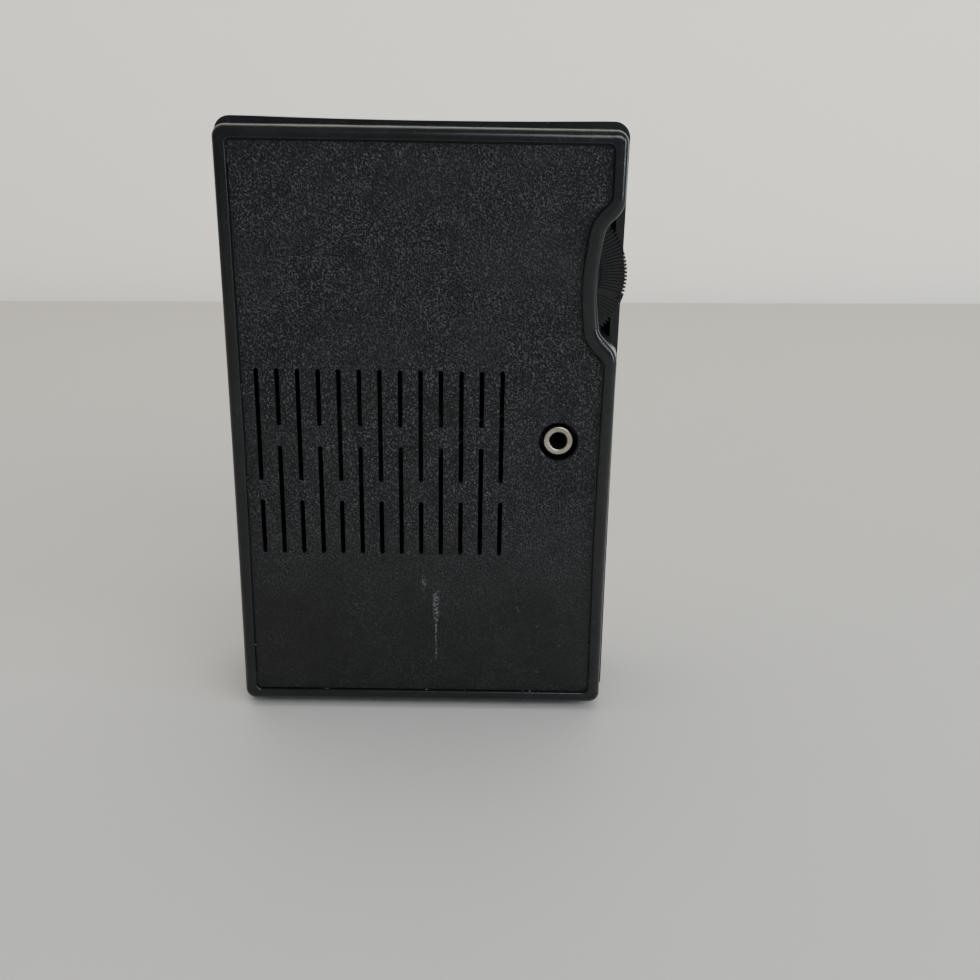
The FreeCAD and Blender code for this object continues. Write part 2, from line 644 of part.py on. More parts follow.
def add_strap_recess(body):
    """A pocket in the top wall with its own walls below, where the strap loops round a pin."""
    box = sketch_at(body, "strap_box_outline", "-strap_depth / 2 - strap_wall - strap_back")
    top = "foot_height + case_height - case_wall"
    add_rectangle(box, "-strap_side", f"{top} - strap_drop / 2 + 0.3", "strap_width + strap_wall * 2 + 0.4",
                  "strap_drop + 0.2", "0.5")
    pad(body, "strap_box", box, "strap_depth + strap_wall * 2")
    recess = level_sketch_at(body, "strap_recess_outline", "foot_height + case_height + 0.1")
    add_rectangle(recess, "-strap_side", "-strap_back", "strap_width", "strap_depth", "0.4")
    feature = grow(body, "Pocket", "strap_recess", recess, "strap_drop + 0.1", True)
    feature.Reversed = False
    document.recompute()
    pin = sketch_at(body, "strap_pin_hole_outline", "-strap_pin_radius - strap_back")
    add_rectangle(pin, "-strap_side", PIN_HEIGHT, "strap_width + strap_pin_reach * 2",
                  "strap_pin_radius * 2", "strap_pin_radius / 4")
    pocket(body, "strap_pin_hole", pin, "strap_pin_radius * 2")


PIN_HEIGHT = "foot_height + case_height - strap_pin_drop"
POST_PLACES = (
    ("-32", "112"),
    ("32", "112"),
    ("32", "96.6"),
    ("-32", "35.5"),
)


def add_posts(body):
    """Four hollow posts on the front wall, up to the circuit board."""
    wall = "-front_plane + case_wall"
    reach = "front_plane - case_wall + board_rear - board_thickness"
    for index, (across, up) in enumerate(POST_PLACES, start=1):
        outline = sketch_at(body, f"post_{index}_outline", wall)
        add_circle(outline, across, up, "post_radius")
        add_circle(outline, across, up, "screw_radius + screw_thread_play")
        pad(body, f"post_{index}", outline, reach)


def make_rear_cover():
    body = new_body("rear_cover")
    depth = "rear_plane - parting_plane"
    outline = sketch_at(body, "outline", "parting_plane")
    add_outline(outline, cover_corners())
    crest_outline = sketch_at(body, "crest_outline", "rear_plane")
    add_outline(crest_outline, crest_corners())
    cap = body.newObject("PartDesign::AdditiveLoft", "cap")
    # drawn from the crest forwards, so that the solid faces outwards
    cap.Profile = crest_outline
    cap.Sections = [outline]
    cap.Ruled = True
    for sketch in (outline, crest_outline):
        sketch.Visibility = False
    document.recompute()
    crest = value("rear_plane")
    dress(body, "Fillet", "rim_round", lambda edge: lies_in_plane(edge, crest), "cover_edge_round")
    hollow = sketch_at(body, "hollow_outline", "parting_plane")
    wall = value("case_wall")
    add_outline(hollow, inset_corners(cover_corners(), rim_distances(wall, wall, wall, wall)))
    pocket(body, "hollow", hollow, f"{depth} - rim_height - panel_thickness", draft="-cover_draft")
    recess = sketch_at(body, "panel_outline", "rear_plane")
    add_outline(recess, panel_corners(0))
    pocket(body, "panel", recess, "rim_height", backwards=False)
    dress(body, "Fillet", "rim_inner_round", rim_inner_edge, "rim_inner_round")
    groove = sketch_at(body, "groove_outline", "rear_plane")
    add_outline(groove, panel_corners(-0.02))
    add_outline(groove, panel_corners(-value("groove_width")))
    pocket(body, "groove", groove, "rim_height + groove_depth", backwards=False)
    add_slots(body)
    hole = sketch_at(body, "jack_hole_outline", "rear_plane")
    add_circle(hole, "-jack_side", "jack_height", "jack_hole")
    pocket(body, "jack_hole", hole, depth, backwards=False)
    panel = value("rear_plane - rim_height")
    jack_edge = value("jack_hole")
    dress(body, "Chamfer", "jack_lip", lambda edge: lies_in_plane(edge, panel)
          and abs(edge.Length - 2 * math.pi * jack_edge) < 0.01, "0.25")
    room = sketch_at(body, "wheel_room_outline", "parting_plane")
    add_circle(room, "-wheel_side", "wheel_height", "wheel_radius + wheel_clearance")
    pocket(body, "wheel_room", room, "wheel_front - parting_plane + wheel_thickness + wheel_play")
    for side, name in (("-foot_side", "left"), ("foot_side", "right")):
        foot = level_sketch_at(body, f"{name}_foot_outline", "0")
        add_rectangle(foot, side, "rear_plane - cover_foot_place", "cover_foot_width",
                      "cover_foot_depth", "foot_round")
        pad(body, f"{name}_foot", foot, "cover_bottom + case_wall", backwards=False)


def rim_inner_edge(edge):
    """An edge of the crest's plane that belongs to the recess and not to the outer round."""
    if not lies_in_plane(edge, value("rear_plane")):
        return False
    x, z = edge.CenterOfMass.x, edge.CenterOfMass.z
    across, up = abs(x), abs(z - value("(cover_bottom + cover_top) / 2"))
    limit_across = value("case_width / 2 - cover_inset - rim_width") - 0.3
    limit_up = value("(cover_top - cover_bottom) / 2 - rim_width") - 0.3
    if x < 0 and value("notch_bottom") - 2.5 < z < value("notch_top") + 2.5 and across < limit_across + 2:
        return across < limit_across - 0.5 and is_inner_notch_edge(x, z)
    return across < limit_across and up < limit_up


def is_inner_notch_edge(x, z):
    """Whether the point lies nearer the recess's notch than the rim's."""
    def nearest(corners):
        points = [Vector(a, b, 0) for a, b, _ in corners]
        spans = zip(points, points[1:] + points[:1])
        return min(Vector(x, z, 0).distanceToLineSegment(a, b).Length for a, b in spans)
    outer = value("cover_edge_round")
    rim = inset_corners(crest_corners(), rim_distances(outer, outer, outer, outer))
    return nearest(panel_corners(0)) < nearest(rim)


def add_slots(body):
    """Two kinds of column take turns: long above short, and short above long."""
    top = "speaker_height + slot_field / 2"
    bottom = "speaker_height - slot_field / 2"
    first = "speaker_side - slot_pitch * (slot_columns - 1) / 2"
    kinds = (
        ("even_top", first, f"{top} - slot_long / 2", "slot_long", "(slot_columns + 1) / 2"),
        ("even_bottom", first, f"{bottom} + slot_short / 2", "slot_short", "(slot_columns + 1) / 2"),
        ("odd_top", f"{first} + slot_pitch", f"{top} - slot_short / 2", "slot_short",
         "(slot_columns - 1) / 2"),
        ("odd_bottom", f"{first} + slot_pitch", f"{bottom} + slot_long / 2", "slot_long",
         "(slot_columns - 1) / 2"),
    )
    for name, across, up, length, count in kinds:
        outline = sketch_at(body, f"{name}_outline", "rear_plane")
        add_rectangle(outline, across, up, "slot_width", length, "slot_end_round")
        slot = pocket(body, f"{name}_slot", outline, "rim_height + panel_thickness + 0.5",
                      backwards=False)
        repeat_along(body, f"{name}_slots", slot, "X_Axis", "slot_pitch * 2", count)


# ---- front plates and tuning dial ----

def make_plate(label, up, height):
    body = new_body(label)
    outline = sketch_at(body, "outline", "-front_plane")
    add_rectangle(outline, "0", up, "front_plate_width - plate_play * 2", f"{height} - plate_play * 2",
                  "plate_corner")
    pad(body, "plate", outline, "plate_thickness")
    return body


def make_speaker_grille():
    body = make_plate("speaker_grille", "grille_middle", "grille_height")
    louvre = sketch_at(body, "louvre_outline", "-front_plane")
    across = "(louvre_length + louvre_bar) / 2"
    lowest = "grille_middle - louvre_pitch * (louvre_rows - 1) / 2"
    add_rectangle(louvre, across, lowest, "louvre_length", "louvre_width", "louvre_width * 0.45")
    add_rectangle(louvre, f"-{across}", lowest, "louvre_length", "louvre_width", "louvre_width * 0.45")
    slot = pocket(body, "louvre", louvre, "plate_thickness")
    repeat_along(body, "louvres", slot, "Z_Axis", "louvre_pitch", "louvre_rows")


def make_dial_plate():
    body = make_plate("dial_plate", "dial_height", "dial_plate_height")
    hole = sketch_at(body, "shaft_hole_outline", "-front_plane")
    add_circle(hole, "dial_side", "dial_height", "shaft_radius + shaft_hole_play")
    pocket(body, "shaft_hole", hole, "plate_thickness")


def make_dial_pointer():
    """A small wedge that stands on the dial plate beside the tuning dial."""
    body = new_body("dial_pointer")
    outline = sketch_at(body, "outline", "-front_plane - pointer_thickness")
    tip = value("dial_side - dial_radius - pointer_gap")
    broad = tip - value("pointer_length")
    middle, half = value("dial_height"), value("pointer_half_width")
    add_outline(outline, [(tip, middle, 0.15), (broad, middle + half, 0.3), (broad, middle - half, 0.3)])
    pad(body, "wedge", outline, "pointer_thickness")


def add_teeth(body, across, up, inner, outer, start, thickness, count, backwards=True):
    """Radial teeth on a turned piece: one tooth, repeated round the axis along Y."""
    tooth = sketch_at(body, "tooth_outline", start)
    width = f"2 * pi * ({outer}) / {count} * 0.5"
    reach = f"{outer} - ({inner})"
    add_rectangle(tooth, f"{across} - ({outer} + {inner}) / 2", up, reach, width, f"({width}) * 0.15")
    feature = pad(body, "tooth", tooth, thickness, backwards)
    axis = body.newObject("PartDesign::Line", "tooth_axis")
    axis.Placement.Rotation = TURNS["y"]
    bind(axis, "Placement.Base.x", across)
    bind(axis, "Placement.Base.z", up)
    pattern = body.newObject("PartDesign::PolarPattern", "teeth")
    pattern.Originals = [feature]
    pattern.Axis = (axis, [""])
    bind(pattern, "Angle", f"360 - 360 / {count}")
    bind(pattern, "Occurrences", count)
    body.Tip = pattern
    document.recompute()


def make_tuning_knob():
    """The tuning dial: a toothed disc with a hub that reaches through the front wall."""
    body = new_body("tuning_knob")
    rear = "-front_plane - dial_gap"
    disc = sketch_at(body, "disc_outline", rear)
    add_circle(disc, "dial_side", "dial_height", "dial_radius - dial_tooth_ring")
    pad(body, "disc", disc, "dial_face - front_plane - dial_gap", backwards=False)
    face = -value("dial_face")
    dress(body, "Fillet", "face_round", lambda edge: lies_in_plane(edge, face), "dial_edge_round")
    add_teeth(body, "dial_side", "dial_height", "dial_radius - 0.8", "dial_radius", rear,
              "dial_face - front_plane - dial_gap - dial_tooth_step", "dial_teeth", backwards=False)
    hub = sketch_at(body, "hub_outline", rear)
    add_circle(hub, "dial_side", "dial_height", "shaft_radius + dial_hub_wall")
    pad(body, "hub", hub, "dial_hub_reach")
    bore = sketch_at(body, "bore_outline", "-front_plane + dial_bore_end")
    add_circle(bore, "dial_side", "dial_height", "shaft_radius")
    pocket(body, "bore", bore, "dial_bore_end + 0.6", backwards=False)
    seat = sketch_at(body, "cap_seat_outline", "-dial_face")
    add_circle(seat, "dial_side", "dial_height", "dial_cap_radius")
    pocket(body, "cap_seat", seat, "dial_cap_seat")
    ring = sketch_at(body, "scale_ring_outline", "-dial_face")
    add_circle(ring, "dial_side", "dial_height", "scale_outer")
    add_circle(ring, "dial_side", "dial_height", "scale_inner")
    pocket(body, "scale_ring", ring, "scale_depth")
    head = sketch_at(body, "screw_seat_outline", "-dial_face")
    add_circle(head, "dial_side", "dial_height", "screw_head_radius")
    pocket(body, "screw_seat", head, "dial_screw_seat")
    hole = sketch_at(body, "screw_hole_outline", "-dial_face")
    add_circle(hole, "dial_side", "dial_height", "screw_radius + screw_hole_play")
    pocket(body, "screw_hole", hole, "3")


def make_tuning_cap():
    """A thin turned metal disc let into the middle of the tuning dial."""
    body = new_body("tuning_cap")
    disc = sketch_at(body, "disc_outline", "-dial_face")
    add_circle(disc, "dial_side", "dial_height", "dial_cap_radius - 0.05")
    add_circle(disc, "dial_side", "dial_height", "screw_head_radius")
    pad(body, "disc", disc, "dial_cap_thickness")


def make_screw(label, across, head, up, shank_end, head_radius, forwards):
    """A round-headed screw along Y with a slot; head is the Y of the head's outer face."""
    sense = 1 if forwards else -1
    start = head if forwards else f"{head} - screw_head"
    dome = rod(f"{label}_head", (across, start, up), head_radius, "screw_head")
    slot = block(f"{label}_slot", (f"{across} - {head_radius}", f"{head} - screw_slot_depth",
                                   f"{up} - screw_slot_width / 2"),
                 (f"2 * ({head_radius})", "screw_slot_depth * 2", "screw_slot_width"))
    shank_start = f"{head} + screw_head" if sense > 0 else shank_end
    shank_length = (f"{shank_end} - ({head} + screw_head)" if sense > 0
                    else f"{head} - screw_head - ({shank_end})")
    shank = rod(f"{label}_shank", (across, shank_start, up), "screw_radius", shank_length)
    return cut(label, fuse(f"{label}_whole", [dome, shank]), slot)


def make_tuning_shaft():
    """The capacitor's shaft, drilled for the dial's screw."""
    start, end = "-front_plane + shaft_front", "-shaft_rear"
    shaft = rod("tuning_shaft_rod", ("dial_side", start, "dial_height"), "shaft_radius",
                f"{end} - ({start})")
    hole = rod("tuning_shaft_hole", ("dial_side", start, "dial_height"), "screw_radius + screw_thread_play",
               "4")
    keep(cut("tuning_shaft", shaft, hole))
    keep(make_screw("tuning_screw", "dial_side", "-dial_face", "dial_height",
                    "-front_plane + 3", "dial_screw_head_radius", True))


def make_tuning_capacitor():
    """The square variable capacitor on the front of the board, bored for its shaft."""
    front = "board_rear - board_thickness - capacitor_depth"
    corner = ("dial_side - capacitor_side / 2", front, "dial_height - capacitor_side / 2")
    case = block("capacitor_case", corner, ("capacitor_side", "capacitor_depth", "capacitor_side"))
    bore = rod("capacitor_bore", ("dial_side", front, "dial_height"), "shaft_radius + shaft_fit", "4")
    keep(cut("tuning_capacitor", case, bore))


# ---- volume wheel ----

def make_volume_wheel():
    body = new_body("volume_wheel")
    disc = sketch_at(body, "disc_outline", "wheel_front")
    add_circle(disc, "-wheel_side", "wheel_height", "wheel_radius - wheel_tooth")
    pad(body, "disc", disc, "wheel_thickness - wheel_rib")
    hub = sketch_at(body, "hub_outline", "wheel_front")
    add_circle(hub, "-wheel_side", "wheel_height", "wheel_hub")
    pad(body, "hub", hub, "wheel_thickness")
    top = value("wheel_front + wheel_thickness")
    dress(body, "Chamfer", "hub_edge", lambda edge: lies_in_plane(edge, top), "0.2")
    add_teeth(body, "-wheel_side", "wheel_height", "wheel_hub + 0.2", "wheel_radius", "wheel_front",
              "wheel_thickness", "wheel_teeth")
    band = sketch_at(body, "band_outline", "wheel_front")
    add_outline(band, index_band_corners())
    pad(body, "index_band", band, "wheel_thickness")
    dimple = sketch_at(body, "dimple_outline", "wheel_front + wheel_thickness")
    across, up = index_point("wheel_radius - index_inset")
    add_circle(dimple, across, up, "index_radius")
    pocket(body, "dimple", dimple, "index_depth", backwards=False)
    bore = sketch_at(body, "bore_outline", "wheel_front")
    add_circle(bore, "-wheel_side", "wheel_height", "volume_shaft_radius")
    pocket(body, "bore", bore, "volume_shaft_seat")
    seat = sketch_at(body, "screw_seat_outline", "wheel_front + wheel_thickness")
    add_circle(seat, "-wheel_side", "wheel_height", "wheel_screw_seat")
    pocket(body, "screw_seat", seat, "screw_head", backwards=False)
    hole = sketch_at(body, "screw_hole_outline", "wheel_front")
    add_circle(hole, "-wheel_side", "wheel_height", "screw_radius + screw_hole_play")
    pocket(body, "screw_hole", hole, "wheel_thickness")


INDEX_ANGLE = 17.5
INDEX_HALF_ANGLE = 2.6


def index_point(radius):
    """Formulas for a point on the smooth index band, below the level on the outer side."""
    return (f"-wheel_side - ({radius}) * cos({INDEX_ANGLE} * 1deg)",
            f"wheel_height - ({radius}) * sin({INDEX_ANGLE} * 1deg)")


def index_band_corners():
    corners = []
    for radius, half_angle in (("wheel_hub - 0.3", -INDEX_HALF_ANGLE), ("wheel_radius", -INDEX_HALF_ANGLE),
                               ("wheel_radius", INDEX_HALF_ANGLE), ("wheel_hub - 0.3", INDEX_HALF_ANGLE)):
        angle = math.radians(180 + INDEX_ANGLE + half_angle)
        x = -value("wheel_side") + value(radius) * math.cos(angle)
        z = value("wheel_height") + value(radius) * math.sin(angle)
        corners.append((x, z, 0.15))
    return corners


def make_volume_control():
    """The pot under the wheel, its turning shaft and the wheel's screw."""
    start = "board_rear"
    can = rod("volume_can", ("-wheel_side", start, "wheel_height"), "volume_body_radius",
              f"volume_body_rear - volume_collar - {start}")
    collar = rod("volume_neck", ("-wheel_side", "volume_body_rear - volume_collar", "wheel_height"),
                 "volume_collar_radius", "volume_collar")
    bore = rod("volume_bore", ("-wheel_side", "volume_body_rear - volume_bore_depth", "wheel_height"),
               "volume_shaft_radius + shaft_fit", "volume_bore_depth")
    keep(cut("volume_control", fuse("volume_whole", [can, collar]), bore))
    start, end = "volume_body_rear - volume_bore_depth + 0.2", "wheel_front + volume_shaft_seat"
    shaft = rod("volume_shaft_rod", ("-wheel_side", start, "wheel_height"), "volume_shaft_radius",
                f"{end} - ({start})")
    hole = rod("volume_shaft_hole", ("-wheel_side", f"{end} - 4", "wheel_height"),
               "screw_radius + screw_thread_play", "4")
    keep(cut("volume_shaft", shaft, hole))
    keep(make_screw("volume_screw", "-wheel_side", "wheel_front + wheel_thickness", "wheel_height",
                    f"{end} - 3", "screw_head_radius", False))


# ---- loudspeaker ----

def make_turned(label, across, up, profile):
    """A turned piece from its profile: closed corners (y, radius, corner radius)."""
    body = new_body(label)
    sketch = profile_sketch_at(body, "profile", across)
    middle = value(up)
    add_outline(sketch, [(y, middle + radius, corner) for y, radius, corner in profile])
    turn(body, "turned", sketch, across, up)
    return body


def make_speaker():
    front = value("-front_plane + case_wall")
    rim = value("speaker_radius")
    felt = 0.5
    place_at = ("speaker_side", "speaker_height")
    make_turned("speaker_gasket", *place_at, [
        (front, rim - 2.4, 0.05), (front + felt, rim - 2.4, 0.05), (front + felt, rim, 0.05),
        (front, rim, 0.05)])
    base = front + felt
    make_turned("speaker_frame", *place_at, [
        (base, rim - 2.6, 0.1), (base + 0.6, rim - 2.6, 0.3), (base + 7.2, 11.4, 0.5),
        (base + 7.2, 8.6, 0.2), (base + 8.0, 8.6, 0.2), (base + 8.0, 12.0, 0.6),
        (base + 1.4, rim - 2.0, 0.4), (base + 0.8, rim, 0.1), (base, rim, 0.1)])
    make_turned("speaker_cone", *place_at, [
        (base + 0.1, rim - 2.9, 0.1), (base + 0.5, rim - 2.9, 0.1), (base + 5.0, 7.2, 0.3),
        (base + 3.2, 0.02, 0.01), (base + 2.8, 0.02, 0.01), (base + 4.5, 7.0, 0.3)])
    magnet_start = base + 8.1
    ring = rod("magnet_ring", (place_at[0], str(magnet_start), place_at[1]), "magnet_radius",
               "magnet_thickness")
    yoke = rod("magnet_yoke", (place_at[0], f"{magnet_start} + magnet_thickness", place_at[1]),
               "yoke_radius", "yoke_thickness")
    keep(fuse("speaker_magnet", [ring, yoke]))


# ---- circuit board and what stands on it ----

def make_circuit_board():
    body = new_body("circuit_board")
    outline = sketch_at(body, "outline", "board_rear")
    half, leg = value("board_half_width"), value("board_leg_edge")
    foot, step, top = value("board_foot"), value("board_step"), value("board_top")
    add_outline(outline, [(-half, foot, 1), (-leg, foot, 1), (-leg, step, 2), (half, step, 1),
                          (half, top, 1), (-half, top, 1)])
    pad(body, "board", outline, "board_thickness", backwards=False)
    holes = sketch_at(body, "screw_holes_outline", "board_rear")
    for across, up in POST_PLACES:
        add_circle(holes, across, up, "screw_radius + screw_hole_play")
    pocket(body, "screw_holes", holes, "board_thickness", backwards=False)


def make_board_screws():
    screws = []
    for index, (across, up) in enumerate(POST_PLACES, start=1):
        screws.append(make_screw(f"board_screw_{index}", across, "board_rear + screw_head", up,
                                 "board_rear - 6", "board_screw_head_radius", False))
    keep(group("board_screws", screws))


ROD_HEIGHT = "111.6"
ROD_REAR = "7"


def make_aerial():
    keep(rod("ferrite_rod", ("-ferrite_start", ROD_REAR, ROD_HEIGHT), "ferrite_radius",
             "ferrite_length", "x"))
    start = ("coil_start", ROD_REAR, ROD_HEIGHT)
    winding = rod("aerial_winding", start, "coil_radius", "coil_length", "x")
    inside = rod("aerial_inside", start, "ferrite_radius + ferrite_play", "coil_length", "x")
    keep(cut("aerial_coil", winding, inside))
    holders = []
    for name, across in (("left", "-22"), ("right", "25")):
        foot = block(f"{name}_holder_block", (across, "board_rear", f"{ROD_HEIGHT} - ferrite_radius"),
                     ("holder_thickness", f"{ROD_REAR} - board_rear", "ferrite_radius * 2"))
        room = rod(f"{name}_holder_room", (f"{across} - 1", ROD_REAR, ROD_HEIGHT),
                   "ferrite_radius + ferrite_play", "holder_thickness + 2", "x")
        holders.append(cut(f"{name}_holder", foot, room))
    keep(group("aerial_holders", holders))


CAN_PITCH = 10.8
CAN_FIRST = -7.4


def make_tuned_cans():
    """Four square screening cans in a row, each with a slotted core under a round hole."""
    for index in range(4):
        left = CAN_FIRST + CAN_PITCH * index
        name = f"tuned_can_{index + 1}"
        corner = (str(left), "board_rear", "board_step + can_lift")
        shell = block(f"{name}_shell", corner, ("can_side", "can_depth", "can_side"))
        across, up = f"{left} + can_side / 2", "board_step + can_lift + can_side / 2"
        middle = (across, "board_rear + can_depth - core_sink", up)
        keep(cut(name, shell, rod(f"{name}_hole", middle, "core_hole", "core_sink + 0.2")))
        core = rod(f"{name}_core_rod", middle, "core_radius", "core_thickness")
        slot = block(f"{name}_core_slot", (f"{across} - core_slot_length / 2",
                                           "board_rear + can_depth - core_sink + core_thickness / 2",
                                           f"{up} - core_slot / 2"),
                     ("core_slot_length", "core_slot", "core_slot"))
        TUNING_CORES.append(cut(f"{name}_core", core, slot))
    keep(group("tuning_cores", TUNING_CORES))


TUNING_CORES = []
TRANSFORMERS = (
    ("output_transformer", "-33.5", "37.6"),
    ("driver_transformer", "-33.5", "68.6"),
)
WINDOW_WIDTH = "lamination_width - lamination_limb * 2"
WINDOW_HEIGHT = "lamination_height - lamination_limb * 2"


def make_transformers():
    """Laminated cores round a wound bobbin."""
    for name, left, bottom in TRANSFORMERS:
        core = block(f"{name}_core", (left, "board_rear + 0.5", bottom),
                     ("lamination_width", "lamination_depth", "lamination_height"))
        window = block(f"{name}_window", (f"{left} + lamination_limb", "board_rear",
                                          f"{bottom} + lamination_limb"),
                       (WINDOW_WIDTH, "lamination_depth + 1", WINDOW_HEIGHT))
        keep(cut(name, core, window))
        keep(block(f"{name}_winding", (f"{left} + lamination_limb + winding_play", "board_rear",
                                       f"{bottom} + lamination_limb + winding_play"),
                   (f"{WINDOW_WIDTH} - winding_play * 2", "winding_depth",
                    f"{WINDOW_HEIGHT} - winding_play * 2")))


ELECTROLYTICS = (
    ("-23", "52.9", "2.5", "9.5"),
    ("-31", "52.9", "2.5", "9.5"),
    ("32", "102", "3", "10.4"),
)


def make_electrolytics():
    for index, (across, up, radius, length) in enumerate(ELECTROLYTICS, start=1):
        name = f"electrolytic_{index}"
        can = rod(f"{name}_can", (across, "board_rear", up), radius, length)
        groove = document.addObject("Part::Torus", f"{name}_groove")
        groove.Placement.Rotation = TURNS["y"]
        bind(groove, "Radius1", radius)
        bind(groove, "Radius2", "0.35")
        place(groove, (across, "board_rear + 1.4", up))
        keep(cut(name, can, groove))


TRANSISTOR_PLACES = (
    ("-5", "100.6"),
    ("3", "100.6"),
    ("11", "100.6"),
    ("19", "100.6"),
    ("-23", "34.6"),
    ("26", "100.6"),
)


def make_transistors():
    """Small cans standing on three legs, flat on one side."""
    for index, (across, up) in enumerate(TRANSISTOR_PLACES, start=1):
        name = f"transistor_{index}"
        can = rod(f"{name}_can", (across, "board_rear + transistor_lift", up), "transistor_radius",
                  "transistor_can")
        flat = block(f"{name}_flat", (f"{across} - 3", "board_rear + 2", f"{up} - 3.6"), ("6", "6", "2"))
        legs = [rod(f"{name}_leg_{leg}", (f"{across} + leg_pitch * {leg - 2}", "board_rear", up),
                    "wire_radius", "transistor_lift + 0.2") for leg in (1, 2, 3)]
        keep(cut(name, fuse(f"{name}_whole", [can] + legs), flat))


RESISTOR_FIRST, RESISTOR_STEP = -6.5, 7.2
RESISTOR_ROW = [(RESISTOR_FIRST + RESISTOR_STEP * step, 96.4) for step in range(5)]
RESISTOR_PLACES = RESISTOR_ROW + [(-28.1, 49), (-28.1, 67.1)]


def make_resistors():
    """Resistors lying on the board, each with its two bent legs."""
    solids = []
    for index, (across, up) in enumerate(RESISTOR_PLACES, start=1):
        name = f"resistor_{index}"
        middle = "board_rear + resistor_lift"
        barrel = rod(f"{name}_barrel", (str(across), middle, str(up)), "resistor_radius",
                     "resistor_length", "x")
        wire = rod(f"{name}_wire", (f"{across} - resistor_leg", middle, str(up)), "wire_radius",
                   "resistor_length + resistor_leg * 2", "x")
        legs = [rod(f"{name}_leg_{end}", (f"{across} + {shift}", "board_rear", str(up)), "wire_radius",
                    "resistor_lift + wire_radius")
                for end, shift in (("a", "-resistor_leg"), ("b", "resistor_length + resistor_leg"))]
        solids.append(fuse(name, [barrel, wire] + legs))
    keep(group("resistors", solids))


DISC_PLACES = tuple((-2.0 + 7.5 * step, 105.4) for step in range(4))


def make_disc_capacitors():
    solids = []
    for index, (across, up) in enumerate(DISC_PLACES, start=1):
        name = f"disc_capacitor_{index}"
        disc = document.addObject("Part::Cylinder", f"{name}_disc")
        bind(disc, "Radius", "disc_radius")
        bind(disc, "Height", "disc_thickness")
        place(disc, (str(across), "board_rear + disc_lift", f"{up} - disc_thickness / 2"))
        legs = [rod(f"{name}_leg_{end}", (f"{across} + {shift}", "board_rear", str(up)), "wire_radius",
                    "2.4")
                for end, shift in (("a", -1.0), ("b", 1.0))]
        solids.append(fuse(name, [disc] + legs))
    keep(group("disc_capacitors", solids))


# ---- earphone jack ----

def make_earphone_jack():
    body = new_body("earphone_bushing")
    start = "jack_body_rear"
    barrel = sketch_at(body, "barrel_outline", start)
    add_circle(barrel, "-jack_side", "jack_height", "jack_radius")
    add_circle(barrel, "-jack_side", "jack_height", "jack_bore")
    pad(body, "barrel", barrel, f"rear_plane - rim_height - jack_depth - {start}")
    crest = value("rear_plane - rim_height - jack_depth")
    dress(body, "Fillet", "lip_round", lambda edge: lies_in_plane(edge, crest), "0.3")
    corner = ("-jack_side - jack_body_side / 2", "board_rear", "jack_height - jack_body_side / 2")
    nut = block("jack_body_block", corner, ("jack_body_side", f"{start} - board_rear", "jack_body_side"))
    room = rod("jack_body_room", ("-jack_side", "board_rear + 1", "jack_height"), "jack_bore", "12")
    keep(cut("earphone_jack_body", nut, room))


# ---- battery ----

def make_battery():
    left, low, front = "-battery_left", "battery_bottom", "-battery_front"
    block_shape = block("battery_block", (left, front, low),
                        ("battery_length", "battery_thickness", "battery_width"))
    document.recompute()
    rounded = document.addObject("Part::Fillet", "battery")
    rounded.Base = block_shape
    long_edges = [index for index, edge in enumerate(block_shape.Shape.Edges, start=1)
                  if abs(edge.Length - value("battery_length")) < 0.001]
    corner = value("battery_corner")
    rounded.Edges = [(index, corner, corner) for index in long_edges]
    keep(rounded)
    middle_y = f"{front} + battery_thickness / 2"
    outer = f"{left} - terminal_height"
    lower, upper = (outer, middle_y, f"{low} + stud_rise"), (outer, middle_y, f"{low} + cup_rise")
    small = rod("battery_stud", lower, "stud_radius", "terminal_height", "x")
    wide = rod("battery_cup", upper, "cup_radius", "terminal_height", "x")
    hollow = rod("battery_cup_room", upper, "cup_bore", "cup_depth", "x")
    keep(group("battery_terminals", [small, cut("battery_cup_ring", wide, hollow)]))
    snap = block("snap_block", (f"{outer} - snap_thickness - 0.1", f"{front} + snap_margin",
                                f"{low} + snap_rise"),
                 ("snap_thickness", "snap_depth", "snap_height"))
    keep(snap)
    snap.Label = "battery_snap"
    keep(block("battery_pad", (f"{left} + battery_length + pad_gap", f"{front} + pad_margin",
                               f"{low} + pad_margin"),
               ("pad_thickness", "battery_thickness - pad_margin * 2",
                "battery_width - pad_margin * 2")))


def make_strap_pin():
    reach = "(strap_pin_reach - strap_pin_play)"
    keep(rod("strap_pin", (f"-strap_side - strap_width / 2 - {reach}", "-strap_back", PIN_HEIGHT),
             "strap_pin_radius", f"strap_width + {reach} * 2", "x"))


make_front_housing()
make_rear_cover()
make_speaker_grille()
make_dial_plate()
make_dial_pointer()
make_tuning_knob()
make_tuning_cap()
make_tuning_shaft()
make_tuning_capacitor()
make_volume_wheel()
make_volume_control()
make_speaker()
make_circuit_board()
make_board_screws()
make_aerial()
make_tuned_cans()
make_transformers()
make_electrolytics()
make_transistors()
make_resistors()
make_disc_capacitors()
make_earphone_jack()
make_battery()
make_strap_pin()


# ---- check and write ----

document.recompute()
for item in document.Objects:
    if {"Invalid", "Error"} & set(item.State):
        raise RuntimeError(f"{item.Label} failed: {item.State}")
for node in NODES:
    if node.Shape.isNull() or not node.Shape.isValid():
        raise RuntimeError(f"{node.Label} has no valid shape")
os.makedirs("parts", exist_ok=True)
for node in NODES:
    node.Shape.exportStep(f"parts/{node.Label}.step")
    print(f"{node.Label}: {len(node.Shape.Solids)} solids, {node.Shape.Volume:.1f} mm3")
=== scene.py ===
import bpy
import bmesh
import math
import numpy as np
import random
from mathutils import Matrix, Vector, noise


